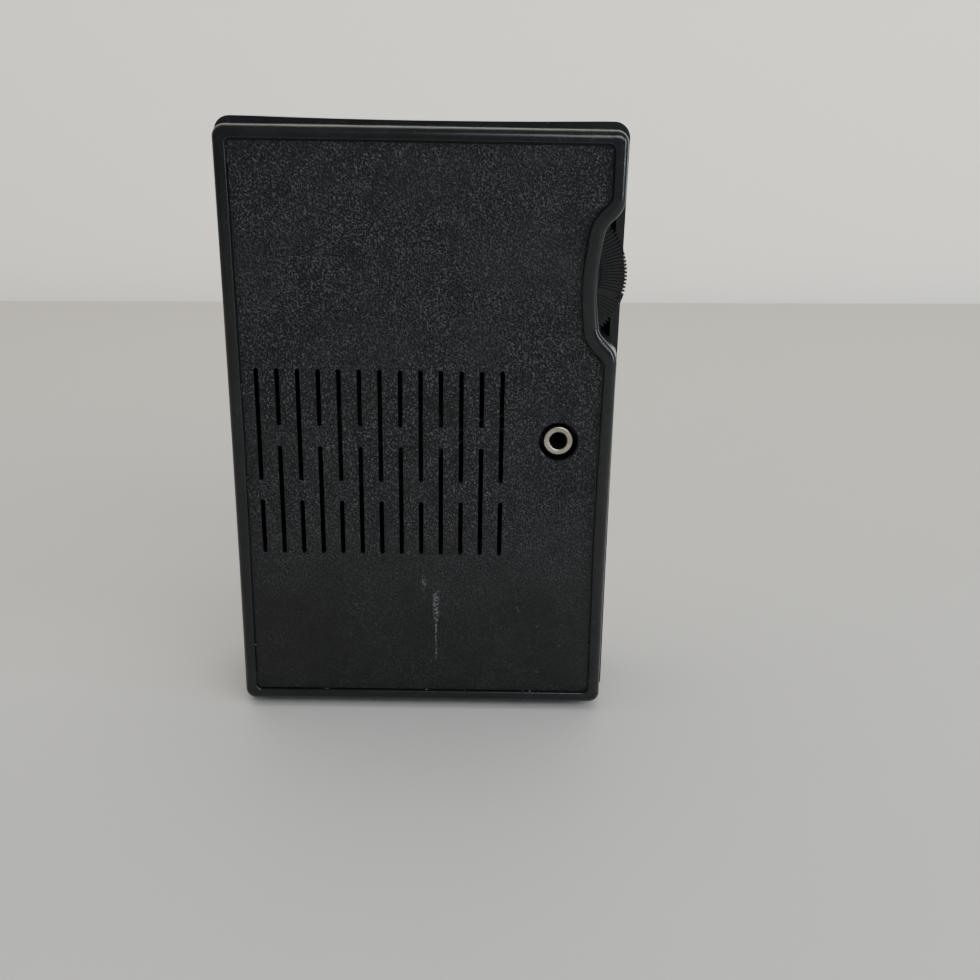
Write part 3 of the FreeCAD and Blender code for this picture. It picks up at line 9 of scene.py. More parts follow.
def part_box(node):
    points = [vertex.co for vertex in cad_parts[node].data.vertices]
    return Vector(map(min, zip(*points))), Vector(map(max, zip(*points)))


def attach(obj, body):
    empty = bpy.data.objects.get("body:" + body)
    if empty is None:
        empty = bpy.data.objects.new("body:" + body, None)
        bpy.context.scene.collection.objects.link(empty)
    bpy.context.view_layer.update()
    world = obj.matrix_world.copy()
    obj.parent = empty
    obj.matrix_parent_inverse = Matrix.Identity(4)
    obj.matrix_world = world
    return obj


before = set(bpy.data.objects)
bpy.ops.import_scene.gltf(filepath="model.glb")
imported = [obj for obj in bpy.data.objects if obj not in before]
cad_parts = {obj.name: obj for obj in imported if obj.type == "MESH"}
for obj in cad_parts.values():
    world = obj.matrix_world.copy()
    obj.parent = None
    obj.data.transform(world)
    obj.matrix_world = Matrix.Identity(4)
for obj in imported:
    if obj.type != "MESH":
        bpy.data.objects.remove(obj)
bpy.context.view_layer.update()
MM = 0.001
rng = random.Random(7)

NODES = {name: bpy.data.objects[name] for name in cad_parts}


class Box:
    """A CAD node's corners, middle and size at rest, in millimetres."""

    def __init__(self, node):
        low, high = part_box(node)
        self.x0, self.y0, self.z0 = (part / MM for part in low)
        self.x1, self.y1, self.z1 = (part / MM for part in high)
        self.x, self.y, self.z = ((a + b) / 2 / MM for a, b in zip(low, high))
        self.width, self.height = (high.x - low.x) / MM, (high.z - low.z) / MM


BOARD = Box("circuit_board")
RIM_HEIGHT = 0.5
PANEL_Y = (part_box("rear_cover")[1].y - RIM_HEIGHT * MM) / MM
# the grain fades over these heights, from rubbed smooth to fresh
RUBBED_Z, FRESH_Z = 18, 62
GRAIN_TURNS = (0.2, 0.95, 1.75, 2.5)


# ---- node materials ----

class Paint:
    """A node material. Each call adds a node and gives back its output, with sizes in millimetres."""

    def __init__(self, name):
        self.material = bpy.data.materials.new(name)
        self.material.use_nodes = True
        self.tree = self.material.node_tree
        self.tree.nodes.clear()
        self.surface = self.add("ShaderNodeBsdfPrincipled")
        output = self.add("ShaderNodeOutputMaterial")
        self.link(self.surface.outputs["BSDF"], output.inputs["Surface"])
        self.where = self.add("ShaderNodeTexCoord").outputs["Object"]

    def add(self, kind, **settings):
        node = self.tree.nodes.new(kind)
        for key, setting in settings.items():
            setattr(node, key, setting)
        return node

    def link(self, source, target):
        if hasattr(source, "is_output"):
            self.tree.links.new(source, target)
        else:
            target.default_value = source

    def set(self, **values):
        """Plain numbers and colours, straight on the shader's own sockets."""
        for key, number in values.items():
            socket = key.replace("_", " ").title().replace("Ior", "IOR")
            self.surface.inputs[socket].default_value = number

    def drive(self, socket, source):
        self.link(source, self.surface.inputs[socket])

    def stretched(self, scale=(1, 1, 1), turn=(0, 0, 0)):
        """The place turned first and scaled after, so that a pattern is drawn out along any direction."""
        mapping = self.add("ShaderNodeMapping", vector_type="TEXTURE")
        self.link(self.where, mapping.inputs["Vector"])
        mapping.inputs["Scale"].default_value = [1 / part for part in scale]
        mapping.inputs["Rotation"].default_value = turn
        return mapping.outputs["Vector"]

    def noise(self, size, detail=3.0, rough=0.5, twist=0.0, at=None):
        node = self.add("ShaderNodeTexNoise")
        self.link(at or self.where, node.inputs["Vector"])
        node.inputs["Scale"].default_value = 1 / (size * MM)
        node.inputs["Detail"].default_value = detail
        node.inputs["Roughness"].default_value = rough
        node.inputs["Distortion"].default_value = twist
        return node.outputs["Fac"]

    def vector(self, operation, first, second):
        node = self.add("ShaderNodeVectorMath", operation=operation)
        self.link(first, node.inputs[0])
        self.link(second, node.inputs[1])
        return node.outputs["Vector"]

    def math(self, operation, first, second=0.0):
        node = self.add("ShaderNodeMath", operation=operation)
        self.link(first, node.inputs[0])
        self.link(second, node.inputs[1])
        return node.outputs["Value"]

    def times(self, first, second):
        return self.math("MULTIPLY", first, second)

    def steps_along(self, axis, start, step):
        """How many steps a place lies beyond start along an axis, with sizes in millimetres."""
        return self.math("DIVIDE", self.math("SUBTRACT", self.part(axis), start * MM), step * MM)

    def between(self, source, low, high, to_low=0.0, to_high=1.0):
        """The source's span low..high stretched to to_low..to_high and clamped."""
        node = self.add("ShaderNodeMapRange", interpolation_type="SMOOTHSTEP")
        self.link(source, node.inputs["Value"])
        node.inputs["From Min"].default_value = low
        node.inputs["From Max"].default_value = high
        node.inputs["To Min"].default_value = to_low
        node.inputs["To Max"].default_value = to_high
        return node.outputs["Result"]

    def mix(self, factor, first, second):
        node = self.add("ShaderNodeMix", data_type="RGBA")
        self.link(factor, node.inputs["Factor"])
        self.link(colour(first), node.inputs["A"])
        self.link(colour(second), node.inputs["B"])
        return node.outputs["Result"]

    def part(self, axis, source=None):
        node = self.add("ShaderNodeSeparateXYZ")
        self.link(source or self.where, node.inputs["Vector"])
        return node.outputs[axis]

    def normal(self, axis):
        """One part of the surface's own direction, in the piece's frame."""
        node = self.add("ShaderNodeTexCoord")
        return self.part(axis, node.outputs["Normal"])

    def bump(self, height, depth, strength=1.0, under=None):
        """Relief: height 0..1 stands for depth millimetres."""
        node = self.add("ShaderNodeBump")
        node.inputs["Strength"].default_value = strength
        node.inputs["Distance"].default_value = depth * MM
        self.link(height, node.inputs["Height"])
        if under:
            self.link(under, node.inputs["Normal"])
        return node.outputs["Normal"]


def colour(value):
    """A colour socket as it is, or a plain colour with its alpha."""
    if isinstance(value, tuple) and len(value) == 3:
        return (*value, 1.0)
    return value


def scaled(base, factor):
    """A colour made darker or lighter."""
    return tuple(c * factor for c in base)


def dress(material, *names):
    """Give CAD nodes a finished material in place of their plain one."""
    for name in names:
        mesh = NODES[name].data
        mesh.materials.clear()
        mesh.materials.append(material)


# ---- finishes ----

BLACK = (0.0044, 0.0048, 0.0053)
PALE_WEAR = (0.085, 0.085, 0.088)
DUST = (0.17, 0.163, 0.15)


def fine_dust(paint, amount):
    """Scattered specks, more of them where a surface looks up."""
    specks = paint.between(paint.noise(0.22, 1.0, 0.5), 0.74, 0.80)
    patches = paint.between(paint.noise(14, 2.0, 0.5), 0.42, 0.7)
    upward = paint.between(paint.normal("Z"), 0.2, 0.95, 0.35, 1.0)
    return paint.times(paint.times(specks, patches), paint.times(upward, amount))


def hairlines(paint, size, share):
    """Thin handling scratches that run in two directions."""
    total = None
    for turn in (0.5, -0.9):
        along = paint.stretched((1, 1, 0.035), (0, turn, 0))
        line = paint.between(paint.noise(size, 1.0, 0.5, at=along), 1 - share, 1 - share + 0.05)
        total = line if total is None else paint.math("MAXIMUM", total, line)
    return total


def smooth_moulding(name, rough, wear=1.0):
    """Satin black moulding: a little orange peel, hairlines, dust and greasy patches."""
    paint = Paint(name)
    greasy = paint.noise(9, 3.0, 0.55)
    lines = hairlines(paint, 0.3, 0.30)
    dust = fine_dust(paint, 0.55 * wear)
    tint = paint.mix(paint.between(greasy, 0.3, 0.7), BLACK, scaled(BLACK, 1.5))
    worn = paint.mix(paint.times(lines, 0.12 * wear), tint, PALE_WEAR)
    paint.drive("Base Color", paint.mix(dust, worn, DUST))
    matt = paint.between(greasy, 0.25, 0.75, rough - 0.025, rough + 0.045)
    paint.drive("Roughness", paint.math("ADD", matt, paint.times(lines, 0.06)))
    peel = paint.bump(paint.noise(0.9, 2.0, 0.5), 0.02, 0.5)
    paint.drive("Normal", paint.bump(paint.noise(0.16, 1.0, 0.4), 0.006, 0.35, peel))
    paint.set(specular_ior_level=0.34)
    return paint.material


def directed_grain(paint, length, width):
    """Short creases in four directions; slow noise decides which direction shows where."""
    total = None
    for index, turn in enumerate(GRAIN_TURNS):
        along = paint.stretched((1, 1, width / length), (0, turn, 0))
        crease = paint.between(paint.noise(width * 2.1, 1.5, 0.55, at=along), 0.44, 0.70)
        offset = paint.vector("ADD", paint.where, (0.05 * index, 0, 0.031 * index))
        share = paint.between(paint.noise(5.0, 1.0, 0.5, at=offset), 0.36, 0.56)
        shown = paint.times(crease, share)
        total = shown if total is None else paint.math("MAXIMUM", total, shown)
    return total


def wrinkles(paint, size, width, twist):
    """A net of thin wandering valleys: 0 in a valley, 1 between them."""
    place = paint.noise(size, 1.0, 0.5, twist)
    away = paint.math("ABSOLUTE", paint.math("SUBTRACT", place, 0.5))
    return paint.between(away, 0.0, width)


def streak(paint, across, half_width, low, high):
    """A smear down the panel at X = across, thinner towards its foot and broken up by fine noise."""
    fade = 3 * MM
    foot, crown = low * MM, high * MM
    side = paint.math("ABSOLUTE", paint.math("SUBTRACT", paint.part("X"), across * MM))
    height = paint.part("Z")
    narrow, wide = (0.6 * low + 0.4 * high) * MM, (0.3 * low + 0.7 * high) * MM
    taper = paint.between(height, narrow, wide, 0.3, 1.0)
    reach = half_width * MM
    near = paint.between(paint.math("DIVIDE", side, taper), 0.3 * reach, reach, 1.0, 0.0)
    above = paint.between(height, foot, foot + fade)
    below = paint.between(height, crown - fade, crown, 1.0, 0.0)
    broken = paint.between(paint.noise(0.35, 3.0, 0.7), 0.46, 0.62)
    return paint.times(paint.times(near, broken), paint.times(above, below))


def leather_moulding(name):
    """Black moulding with a leather grain: creased above, rubbed smoother below, with a few scuffs, and
    painted highlight on the grain's crests with painted shade in its valleys.
    """
    paint = Paint(name)
    grain = directed_grain(paint, 0.5, 0.2)
    speckle = paint.between(paint.noise(0.36, 2.0, 0.6, 0.4), 0.38, 0.66)
    both = paint.math("ADD", paint.times(grain, 0.42), paint.times(speckle, 0.68))
    long_lines = paint.math("SUBTRACT", 1.0, wrinkles(paint, 3.1, 0.012, 2.5))
    where_long = paint.between(paint.noise(16, 1.0, 0.5), 0.46, 0.58)
    folds = paint.times(long_lines, where_long)
    rubbed = paint.between(paint.part("Z"), RUBBED_Z * MM, FRESH_Z * MM, 0.22, 1.0)
    patches = paint.between(paint.noise(13, 2.0, 0.5), 0.3, 0.62, 0.62, 1.0)
    strength = paint.times(rubbed, patches)
    height = paint.math("ADD", paint.times(both, strength), paint.times(folds, 0.5))
    paint.drive("Normal", paint.bump(height, 0.34, 1.0))
    scuff = paint.math("MAXIMUM", streak(paint, -2.9, 0.85, 11, 29), streak(paint, -0.4, 0.7, 25, 32))
    # painted highlight and shade: the grain's crests are painted lighter and its valleys darker than the
    # black moulding
    painted_grain_light_and_shade = paint.times(paint.between(both, 0.48, 1.05), strength)
    base = paint.mix(painted_grain_light_and_shade, scaled(BLACK, 0.3), (0.068, 0.070, 0.072))
    lined = paint.mix(paint.times(folds, 0.35), base, PALE_WEAR)
    worn = paint.mix(paint.times(scuff, 0.6), lined, (0.22, 0.22, 0.225))
    paint.drive("Base Color", paint.mix(fine_dust(paint, 0.8), worn, DUST))
    # light hardly reaches the bottom of a valley, so it shines less there
    hollow = paint.times(paint.between(both, 0.15, 0.75, 1.0, 0.0), strength)
    paint.drive("Roughness", paint.between(hollow, 0.0, 1.0, 0.30, 0.70))
    paint.set(specular_ior_level=0.35)
    return paint.material


def plastic(name, base, rough=0.42, mottle=0.25, grain=0.25, clear=0.0):
    """Moulded or turned plastic in one colour, slightly uneven, with a fine skin and dust."""
    paint = Paint(name)
    cloud = paint.noise(3.5, 3.0, 0.55)
    darker, lighter = (scaled(base, 1 + mottle * sign) for sign in (-1, 1))
    tinted = paint.mix(paint.between(cloud, 0.3, 0.7), darker, lighter)
    paint.drive("Base Color", paint.mix(fine_dust(paint, 0.5), tinted, DUST))
    paint.drive("Roughness", paint.between(paint.noise(1.4, 2.0, 0.5), 0.3, 0.7, rough - 0.07, rough + 0.08))
    peel = paint.bump(paint.noise(0.8, 2.0, 0.5), 0.02, 0.5)
    paint.drive("Normal", paint.bump(paint.noise(grain, 1.0, 0.5), 0.008, 0.5, peel))
    paint.set(specular_ior_level=0.45, subsurface_weight=clear)
    if clear:
        paint.surface.inputs["Subsurface Radius"].default_value = (1.5 * MM,) * 3
    return paint.material


def metal(name, base, rough=0.3, brushed=(1, 1, 0.05), tarnish=(0.20, 0.17, 0.13), dulled=0.25):
    """Plated or plain metal: brushed lines, finger-dulled patches and a few tarnish spots."""
    paint = Paint(name)
    along = paint.stretched(brushed)
    lines = paint.noise(0.14, 3.0, 0.6, at=along)
    dull = paint.between(paint.noise(2.6, 3.0, 0.6), 0.42, 0.68)
    spots = paint.between(paint.noise(0.7, 2.0, 0.6), 0.66, 0.74)
    shade = paint.mix(paint.between(lines, 0.3, 0.7), scaled(base, 0.82), base)
    aged = paint.mix(paint.times(dull, dulled), shade, tarnish)
    paint.drive("Base Color", paint.mix(paint.times(spots, dulled), aged, scaled(tarnish, 0.4)))
    uneven = paint.between(lines, 0.2, 0.8, rough - 0.07, rough + 0.07)
    paint.drive("Roughness", paint.math("ADD", uneven, paint.times(dull, 0.12)))
    paint.drive("Normal", paint.bump(lines, 0.004, 0.4))
    paint.set(metallic=1.0)
    return paint.material


def fibrous(name, base, second, size=0.3, depth=0.12, rough=0.9, sheen=0.3):
    """Felt, paper, foam and tape: matted fibres or pores with a little sheen."""
    paint = Paint(name)
    fibres = paint.noise(size, 4.0, 0.7, twist=1.2)
    blotch = paint.between(paint.noise(size * 14, 3.0, 0.6), 0.35, 0.65)
    tone = paint.mix(paint.between(fibres, 0.35, 0.65), base, second)
    paint.drive("Base Color", paint.mix(paint.times(blotch, 0.35), tone, scaled(base, 0.6)))
    paint.drive("Roughness", paint.between(fibres, 0.3, 0.7, rough - 0.1, min(rough + 0.05, 1)))
    paint.drive("Normal", paint.bump(fibres, depth, 0.8))
    paint.set(sheen_weight=sheen, specular_ior_level=0.25)
    return paint.material


def laminated(name):
    """A transformer's stack of thin iron plates along Y, with dark gaps and a little rust."""
    plate_step, gap_share = 0.42, 0.22
    paint = Paint(name)
    step = paint.math("FRACT", paint.math("DIVIDE", paint.part("Y"), plate_step * MM))
    gap = paint.math("LESS_THAN", step, gap_share)
    rust = paint.between(paint.noise(0.9, 3.0, 0.65), 0.5, 0.68)
    iron = paint.mix(rust, (0.16, 0.155, 0.15), (0.17, 0.062, 0.026))
    paint.drive("Base Color", paint.mix(gap, iron, (0.03, 0.022, 0.016)))
    paint.drive("Roughness", paint.between(rust, 0.0, 1.0, 0.38, 0.75))
    paint.drive("Metallic", paint.times(paint.math("SUBTRACT", 1.0, rust), 0.7))
    paint.drive("Normal", paint.bump(paint.math("SUBTRACT", 1.0, gap), 0.06, 0.9))
    return paint.material


def phenolic_board(name):
    """Brown paper laminate: fibre streaks and drips of glossy flux."""
    paint = Paint(name)
    fibres = paint.noise(0.5, 4.0, 0.65, at=paint.stretched((0.12, 1, 1)))
    cloud = paint.between(paint.noise(16, 2.0, 0.5), 0.3, 0.7)
    flux = paint.between(paint.noise(2.4, 2.0, 0.5), 0.66, 0.72)
    tone = paint.mix(paint.between(fibres, 0.3, 0.7), (0.20, 0.085, 0.026), (0.33, 0.155, 0.055))
    aged = paint.mix(paint.times(cloud, 0.4), tone, (0.13, 0.055, 0.02))
    paint.drive("Base Color", paint.mix(paint.times(flux, 0.6), aged, (0.24, 0.13, 0.03)))
    paint.drive("Roughness", paint.between(flux, 0.0, 1.0, 0.52, 0.16))
    paint.drive("Normal", paint.bump(fibres, 0.02, 0.5, paint.bump(flux, 0.08, 0.6)))
    return paint.material


def coloured_by_place(name, axis, start, step, colours, rough=0.4):
    """Equal pieces of one node, each in its own colour by its place along an axis."""
    paint = Paint(name)
    whole = paint.math("FLOOR", paint.steps_along(axis, start, step))
    tone = colour(colours[0])
    for index, next_colour in enumerate(colours[1:], start=1):
        tone = paint.mix(paint.math("GREATER_THAN", whole, index - 0.5), tone, next_colour)
    cloud = paint.between(paint.noise(1.2, 3.0, 0.6), 0.35, 0.65)
    paint.drive("Base Color", paint.mix(paint.times(cloud, 0.3), tone, (0.05, 0.045, 0.04)))
    paint.drive("Roughness", paint.between(cloud, 0.0, 1.0, rough - 0.05, rough + 0.12))
    paint.drive("Normal", paint.bump(paint.noise(0.3, 2.0, 0.5), 0.01, 0.5))
    return paint.material


def with_wire_legs(name, base, leg_top, rough, bands=None):
    """Small parts whose legs, up to Y = leg_top, are tinned wire and whose bodies are lacquered.

    bands gives the first body's start in X, the step from body to body, a body's length and its stripes.
    """
    paint = Paint(name)
    cloud = paint.between(paint.noise(0.9, 3.0, 0.6), 0.3, 0.7)
    lacquer = paint.mix(cloud, scaled(base, 0.8), scaled(base, 1.2))
    if bands:
        start, period, length, stripes = bands
        along = paint.math("FRACT", paint.steps_along("X", start, period))
        chance = paint.add("ShaderNodeTexWhiteNoise", noise_dimensions="1D")
        paint.link(paint.math("FLOOR", paint.steps_along("X", start, period)), chance.inputs["W"])
        for low, high, tint in stripes:
            inside = paint.times(paint.math("GREATER_THAN", along, low / period),
                                 paint.math("LESS_THAN", along, high / period))
            lacquer = paint.mix(inside, lacquer, paint.mix(chance.outputs["Value"], tint, tint[::-1]))
    wire = paint.math("LESS_THAN", paint.part("Y"), leg_top * MM)
    if bands:
        ends = paint.math("GREATER_THAN", along, length / period)
        wire = paint.math("MAXIMUM", wire, ends)
    paint.drive("Base Color", paint.mix(wire, lacquer, (0.62, 0.61, 0.58)))
    paint.drive("Metallic", wire)
    paint.drive("Roughness", paint.between(cloud, 0.0, 1.0, rough, rough + 0.12))
    paint.drive("Normal", paint.bump(paint.noise(0.25, 2.0, 0.5), 0.01, 0.5))
    return paint.material


def sleeved_can(name, node, sleeve, stripe):
    """An electrolytic: shrunk sleeve with a paler stripe, bare pressed aluminium on its end."""
    low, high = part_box(node)
    width = high.x - low.x
    paint = Paint(name)
    side = paint.between(paint.part("X"), low.x + width * 0.78, low.x + width * 0.80)
    tone = paint.mix(side, sleeve, stripe)
    cloud = paint.noise(1.1, 3.0, 0.6)
    dirt = paint.times(paint.between(cloud, 0.4, 0.7), 0.3)
    tone = paint.mix(dirt, tone, scaled(sleeve, 0.5))
    middle = paint.vector("SUBTRACT", paint.where, ((low.x + high.x) / 2, 0, (low.z + high.z) / 2))
    flat = paint.vector("MULTIPLY", middle, (1, 0, 1))
    reach = paint.add("ShaderNodeVectorMath", operation="LENGTH")
    paint.link(flat, reach.inputs[0])
    inner = paint.math("LESS_THAN", reach.outputs["Value"], width * 0.40)
    bare = paint.times(inner, paint.math("GREATER_THAN", paint.normal("Y"), 0.8))
    paint.drive("Base Color", paint.mix(bare, tone, (0.68, 0.68, 0.67)))
    paint.drive("Metallic", bare)
    paint.drive("Roughness", paint.between(cloud, 0.3, 0.7, 0.22, 0.36))
    paint.drive("Normal", paint.bump(cloud, 0.03, 0.6))
    return paint.material


def battery_wrap(name):
    """A printed steel wrap: black with a copper-coloured end band and a thin silver line, scuffed."""
    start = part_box("battery")[0].x
    band_end, line_end = start + 11 * MM, start + 12.2 * MM
    paint = Paint(name)
    along = paint.part("X")
    band = paint.math("LESS_THAN", along, band_end)
    line = paint.times(paint.math("GREATER_THAN", along, band_end), paint.math("LESS_THAN", along, line_end))
    scuffs = paint.times(hairlines(paint, 0.3, 0.27), 0.16)
    banded = paint.mix(band, (0.012, 0.012, 0.013), (0.50, 0.20, 0.06))
    tone = paint.mix(line, banded, (0.55, 0.55, 0.54))
    paint.drive("Base Color", paint.mix(scuffs, tone, (0.38, 0.37, 0.35)))
    paint.drive("Metallic", paint.math("MAXIMUM", paint.math("MAXIMUM", band, line), scuffs))
    paint.drive("Roughness", paint.between(paint.noise(4, 3.0, 0.6), 0.3, 0.7, 0.24, 0.42))
    dents = paint.bump(paint.noise(9, 2.0, 0.5), 0.12, 0.5)
    paint.drive("Normal", paint.bump(paint.noise(0.4, 2.0, 0.5), 0.01, 0.4, dents))
    return paint.material


def woven(name, base, second, pitch=0.55):
    """Plain-woven cloth of two tones in X and Z, with painted shade between the threads."""
    paint = Paint(name)
    threads = []
    for axis in ("X", "Z"):
        turn = paint.times(paint.part(axis), math.pi / (pitch * MM))
        threads.append(paint.math("ABSOLUTE", paint.math("SINE", turn)))
    height = paint.math("MAXIMUM", *threads)
    over = paint.math("GREATER_THAN", *threads)
    tone = paint.mix(over, base, second)
    # painted shade: the low places between the threads are darkened
    paint.drive("Base Color", paint.mix(paint.between(height, 0.3, 0.9), scaled(base, 0.25), tone))
    paint.drive("Roughness", paint.between(paint.noise(0.4, 2.0, 0.5), 0.3, 0.7, 0.65, 0.85))
    paint.drive("Normal", paint.bump(height, 0.12, 0.8))
    paint.set(sheen_weight=0.3)
    return paint.material


# ---- new pieces ----

def finish_piece(name, mesh, material, body, smooth=True):
    """Link a mesh as a piece that rides on a body."""
    for face in mesh.polygons:
        face.use_smooth = smooth
    mesh.materials.append(material)
    piece = bpy.data.objects.new(name, mesh)
    bpy.context.scene.collection.objects.link(piece)
    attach(piece, body)


def curve_through(points, steps=8):
    """Points along a smooth line through the given ones."""
    line = [Vector(p) for p in points]
    line = [line[0] * 2 - line[1]] + line + [line[-1] * 2 - line[-2]]
    result = []
    for a, b, c, d in zip(line, line[1:], line[2:], line[3:]):
        for step in range(steps):
            t = step / steps
            result.append(0.5 * (2 * b + (c - a) * t + (2 * a - 5 * b + 4 * c - d) * t * t
                                 + (3 * b - a - 3 * c + d) * t ** 3))
    result.append(line[-2])
    return result


def circle(sides):
    """Directions round a circle, each a cosine and a sine."""
    turns = [2 * math.pi * k / sides for k in range(sides)]
    return [(math.cos(turn), math.sin(turn)) for turn in turns]


def bridge(bm, first, second):
    """Faces between two closed rings of vertices, where a ring may also be one single vertex."""
    sides = max(len(first), len(second))
    for k in range(sides):
        m = (k + 1) % sides
        corners = list(dict.fromkeys([first[k % len(first)], first[m % len(first)],
                                      second[m % len(second)], second[k % len(second)]]))
        if len(corners) > 2:
            bm.faces.new(corners)


def tube(bm, path, radius, sides=10, close=True):
    """A round wire along a path, in millimetres, with domed ends."""
    path = [Vector(p) for p in path]
    rings = []
    side = None
    for index, point in enumerate(path):
        ahead = (path[min(index + 1, len(path) - 1)] - path[max(index - 1, 0)]).normalized()
        if side is None:
            side = ahead.orthogonal().normalized()
        side = (side - ahead * side.dot(ahead)).normalized()
        other = ahead.cross(side)
        rings.append([bm.verts.new((point + (side * c + other * s) * radius) * MM) for c, s in circle(sides)])
    for first, second in zip(rings, rings[1:]):
        bridge(bm, first, second)
    if close:
        for ring, out, sign in ((rings[0], path[0] - path[1], 1), (rings[-1], path[-1] - path[-2], -1)):
            tip = bm.verts.new((path[0 if sign > 0 else -1] + out.normalized() * radius * 0.6) * MM)
            for step in range(sides):
                following = (step + 1) % sides
                corners = (ring[following], ring[step], tip)
                bm.faces.new(corners if sign > 0 else corners[::-1])


def wires(name, paths, radius, material, sides=10):
    """Several wires in one piece, each through its own few points."""
    bm = bmesh.new()
    for path in paths:
        tube(bm, curve_through(path), radius, sides)
    finish_mesh(name, bm, material, "radio")


def finish_mesh(name, bm, material, body, smooth=True):
    bmesh.ops.recalc_face_normals(bm, faces=bm.faces)
    mesh = bpy.data.meshes.new(name)
    bm.to_mesh(mesh)
    bm.free()
    finish_piece(name, mesh, material, body, smooth)


def turned(bm, centre, profile, sides):
    """A surface turned about the line along Y through centre (x, z): profile of (y, radius)."""
    x, z = centre
    rings = []
    for y, radius in profile:
        around = circle(sides) if radius > 1e-6 else [(0, 0)]
        rings.append([bm.verts.new(Vector((x + radius * c, y, z + radius * s)) * MM) for c, s in around])
    for first, second in zip(rings, rings[1:]):
        bridge(bm, first, second)
    return rings


def rounded_ring(box, y, corner, inset, steps):
    """A closed path at one Y just inside a box's outline, with steps pieces to each rounded corner."""
    reach = corner - inset
    ring = []
    for x, z, start in ((box.x1 - corner, box.z1 - corner, 0), (box.x0 + corner, box.z1 - corner, 90),
                        (box.x0 + corner, box.z0 + corner, 180), (box.x1 - corner, box.z0 + corner, 270)):
        for step in range(steps + 1):
            angle = math.radians(start + 90 * step / steps)
            ring.append((x + reach * math.cos(angle), y, z + reach * math.sin(angle)))
    return ring + ring[:1]


# ---- the grained panel ----

GRAIN_STEP = 0.3
# how far the sheet's edge is sunk in the panel, how high it lies elsewhere and how deep its grain is
EDGE_SINK, SHEET_RISE, GRAIN_DEPTH = 0.004, 0.012, 0.055


def panel_runs():
    """The edges of the cover's flat panel, X and Z in millimetres: its outline, slots and jack hole."""
    mesh = NODES["rear_cover"].data
    places = [tuple(round(part / MM, 4) for part in v.co) for v in mesh.vertices]
    level = round(PANEL_Y, 4)
    uses = {}
    for face in mesh.polygons:
        corners = [places[i] for i in face.vertices]
        if any(abs(corner[1] - level) > 0.001 for corner in corners):
            continue
        flat = [(x, z) for x, _, z in corners]
        for start, end in zip(flat, flat[1:] + flat[:1]):
            key = (min(start, end), max(start, end))
            uses[key] = uses.get(key, 0) + 1
    return np.array([key for key, times in uses.items() if times == 1])


def inside_runs(runs, columns, rows):
    """For every grid point, whether it lies inside the runs."""
    inside = np.zeros((len(rows), len(columns)), bool)
    for (x1, z1), (x2, z2) in runs:
        if z1 > z2:
            x1, z1, x2, z2 = x2, z2, x1, z1
        for row in np.nonzero((rows >= z1) & (rows < z2))[0]:
            crossing = x1 + (x2 - x1) * (rows[row] - z1) / (z2 - z1)
            inside[row] ^= columns < crossing
    return inside


def nearest_on_runs(runs, columns, rows, reach):
    """Distance to the runs and the nearest place on them, for grid points within reach."""
    distance = np.full((len(rows), len(columns)), np.inf)
    nearest = np.zeros((len(rows), len(columns), 2))
    for (x1, z1), (x2, z2) in runs:
        across = np.nonzero((columns > min(x1, x2) - reach) & (columns < max(x1, x2) + reach))[0]
        up = np.nonzero((rows > min(z1, z2) - reach) & (rows < max(z1, z2) + reach))[0]
        if not len(across) or not len(up):
            continue
        x, z = np.meshgrid(columns[across], rows[up])
        length = (x2 - x1) ** 2 + (z2 - z1) ** 2
        t = np.clip(((x - x1) * (x2 - x1) + (z - z1) * (z2 - z1)) / length, 0, 1)
        px, pz = x1 + t * (x2 - x1), z1 + t * (z2 - z1)
        gap = np.hypot(x - px, z - pz)
        window = np.ix_(up, across)
        closer = gap < distance[window]
        distance[window] = np.where(closer, gap, distance[window])
        nearest[window] = np.where(closer[..., None], np.stack((px, pz), -1), nearest[window])
    return distance, nearest


def grain_height(x, z):
    """Relief of the leather grain at a place, 0 to 1."""
    patch, length, width, pebble = 7, 1.9, 0.55, 0.7
    least = -0.15
    total = 0.0
    for index, turn in enumerate(GRAIN_TURNS):
        share = noise.noise(Vector((x / patch + 5.3 * index, 0.7, z / patch + 2.1 * index)))
        if share < least:
            continue
        u = x * math.cos(turn) + z * math.sin(turn)
        v = z * math.cos(turn) - x * math.sin(turn)
        crease = noise.noise(Vector((u / length + 9.1 * index, 3.1, v / width)))
        total = max(total, min(1.0, (share - least) * 3) * max(0.0, 0.5 + crease))
    return min(1.0, 0.75 * total + 0.35 * (0.5 + noise.noise(Vector((x / pebble, 8.2, z / pebble)))))


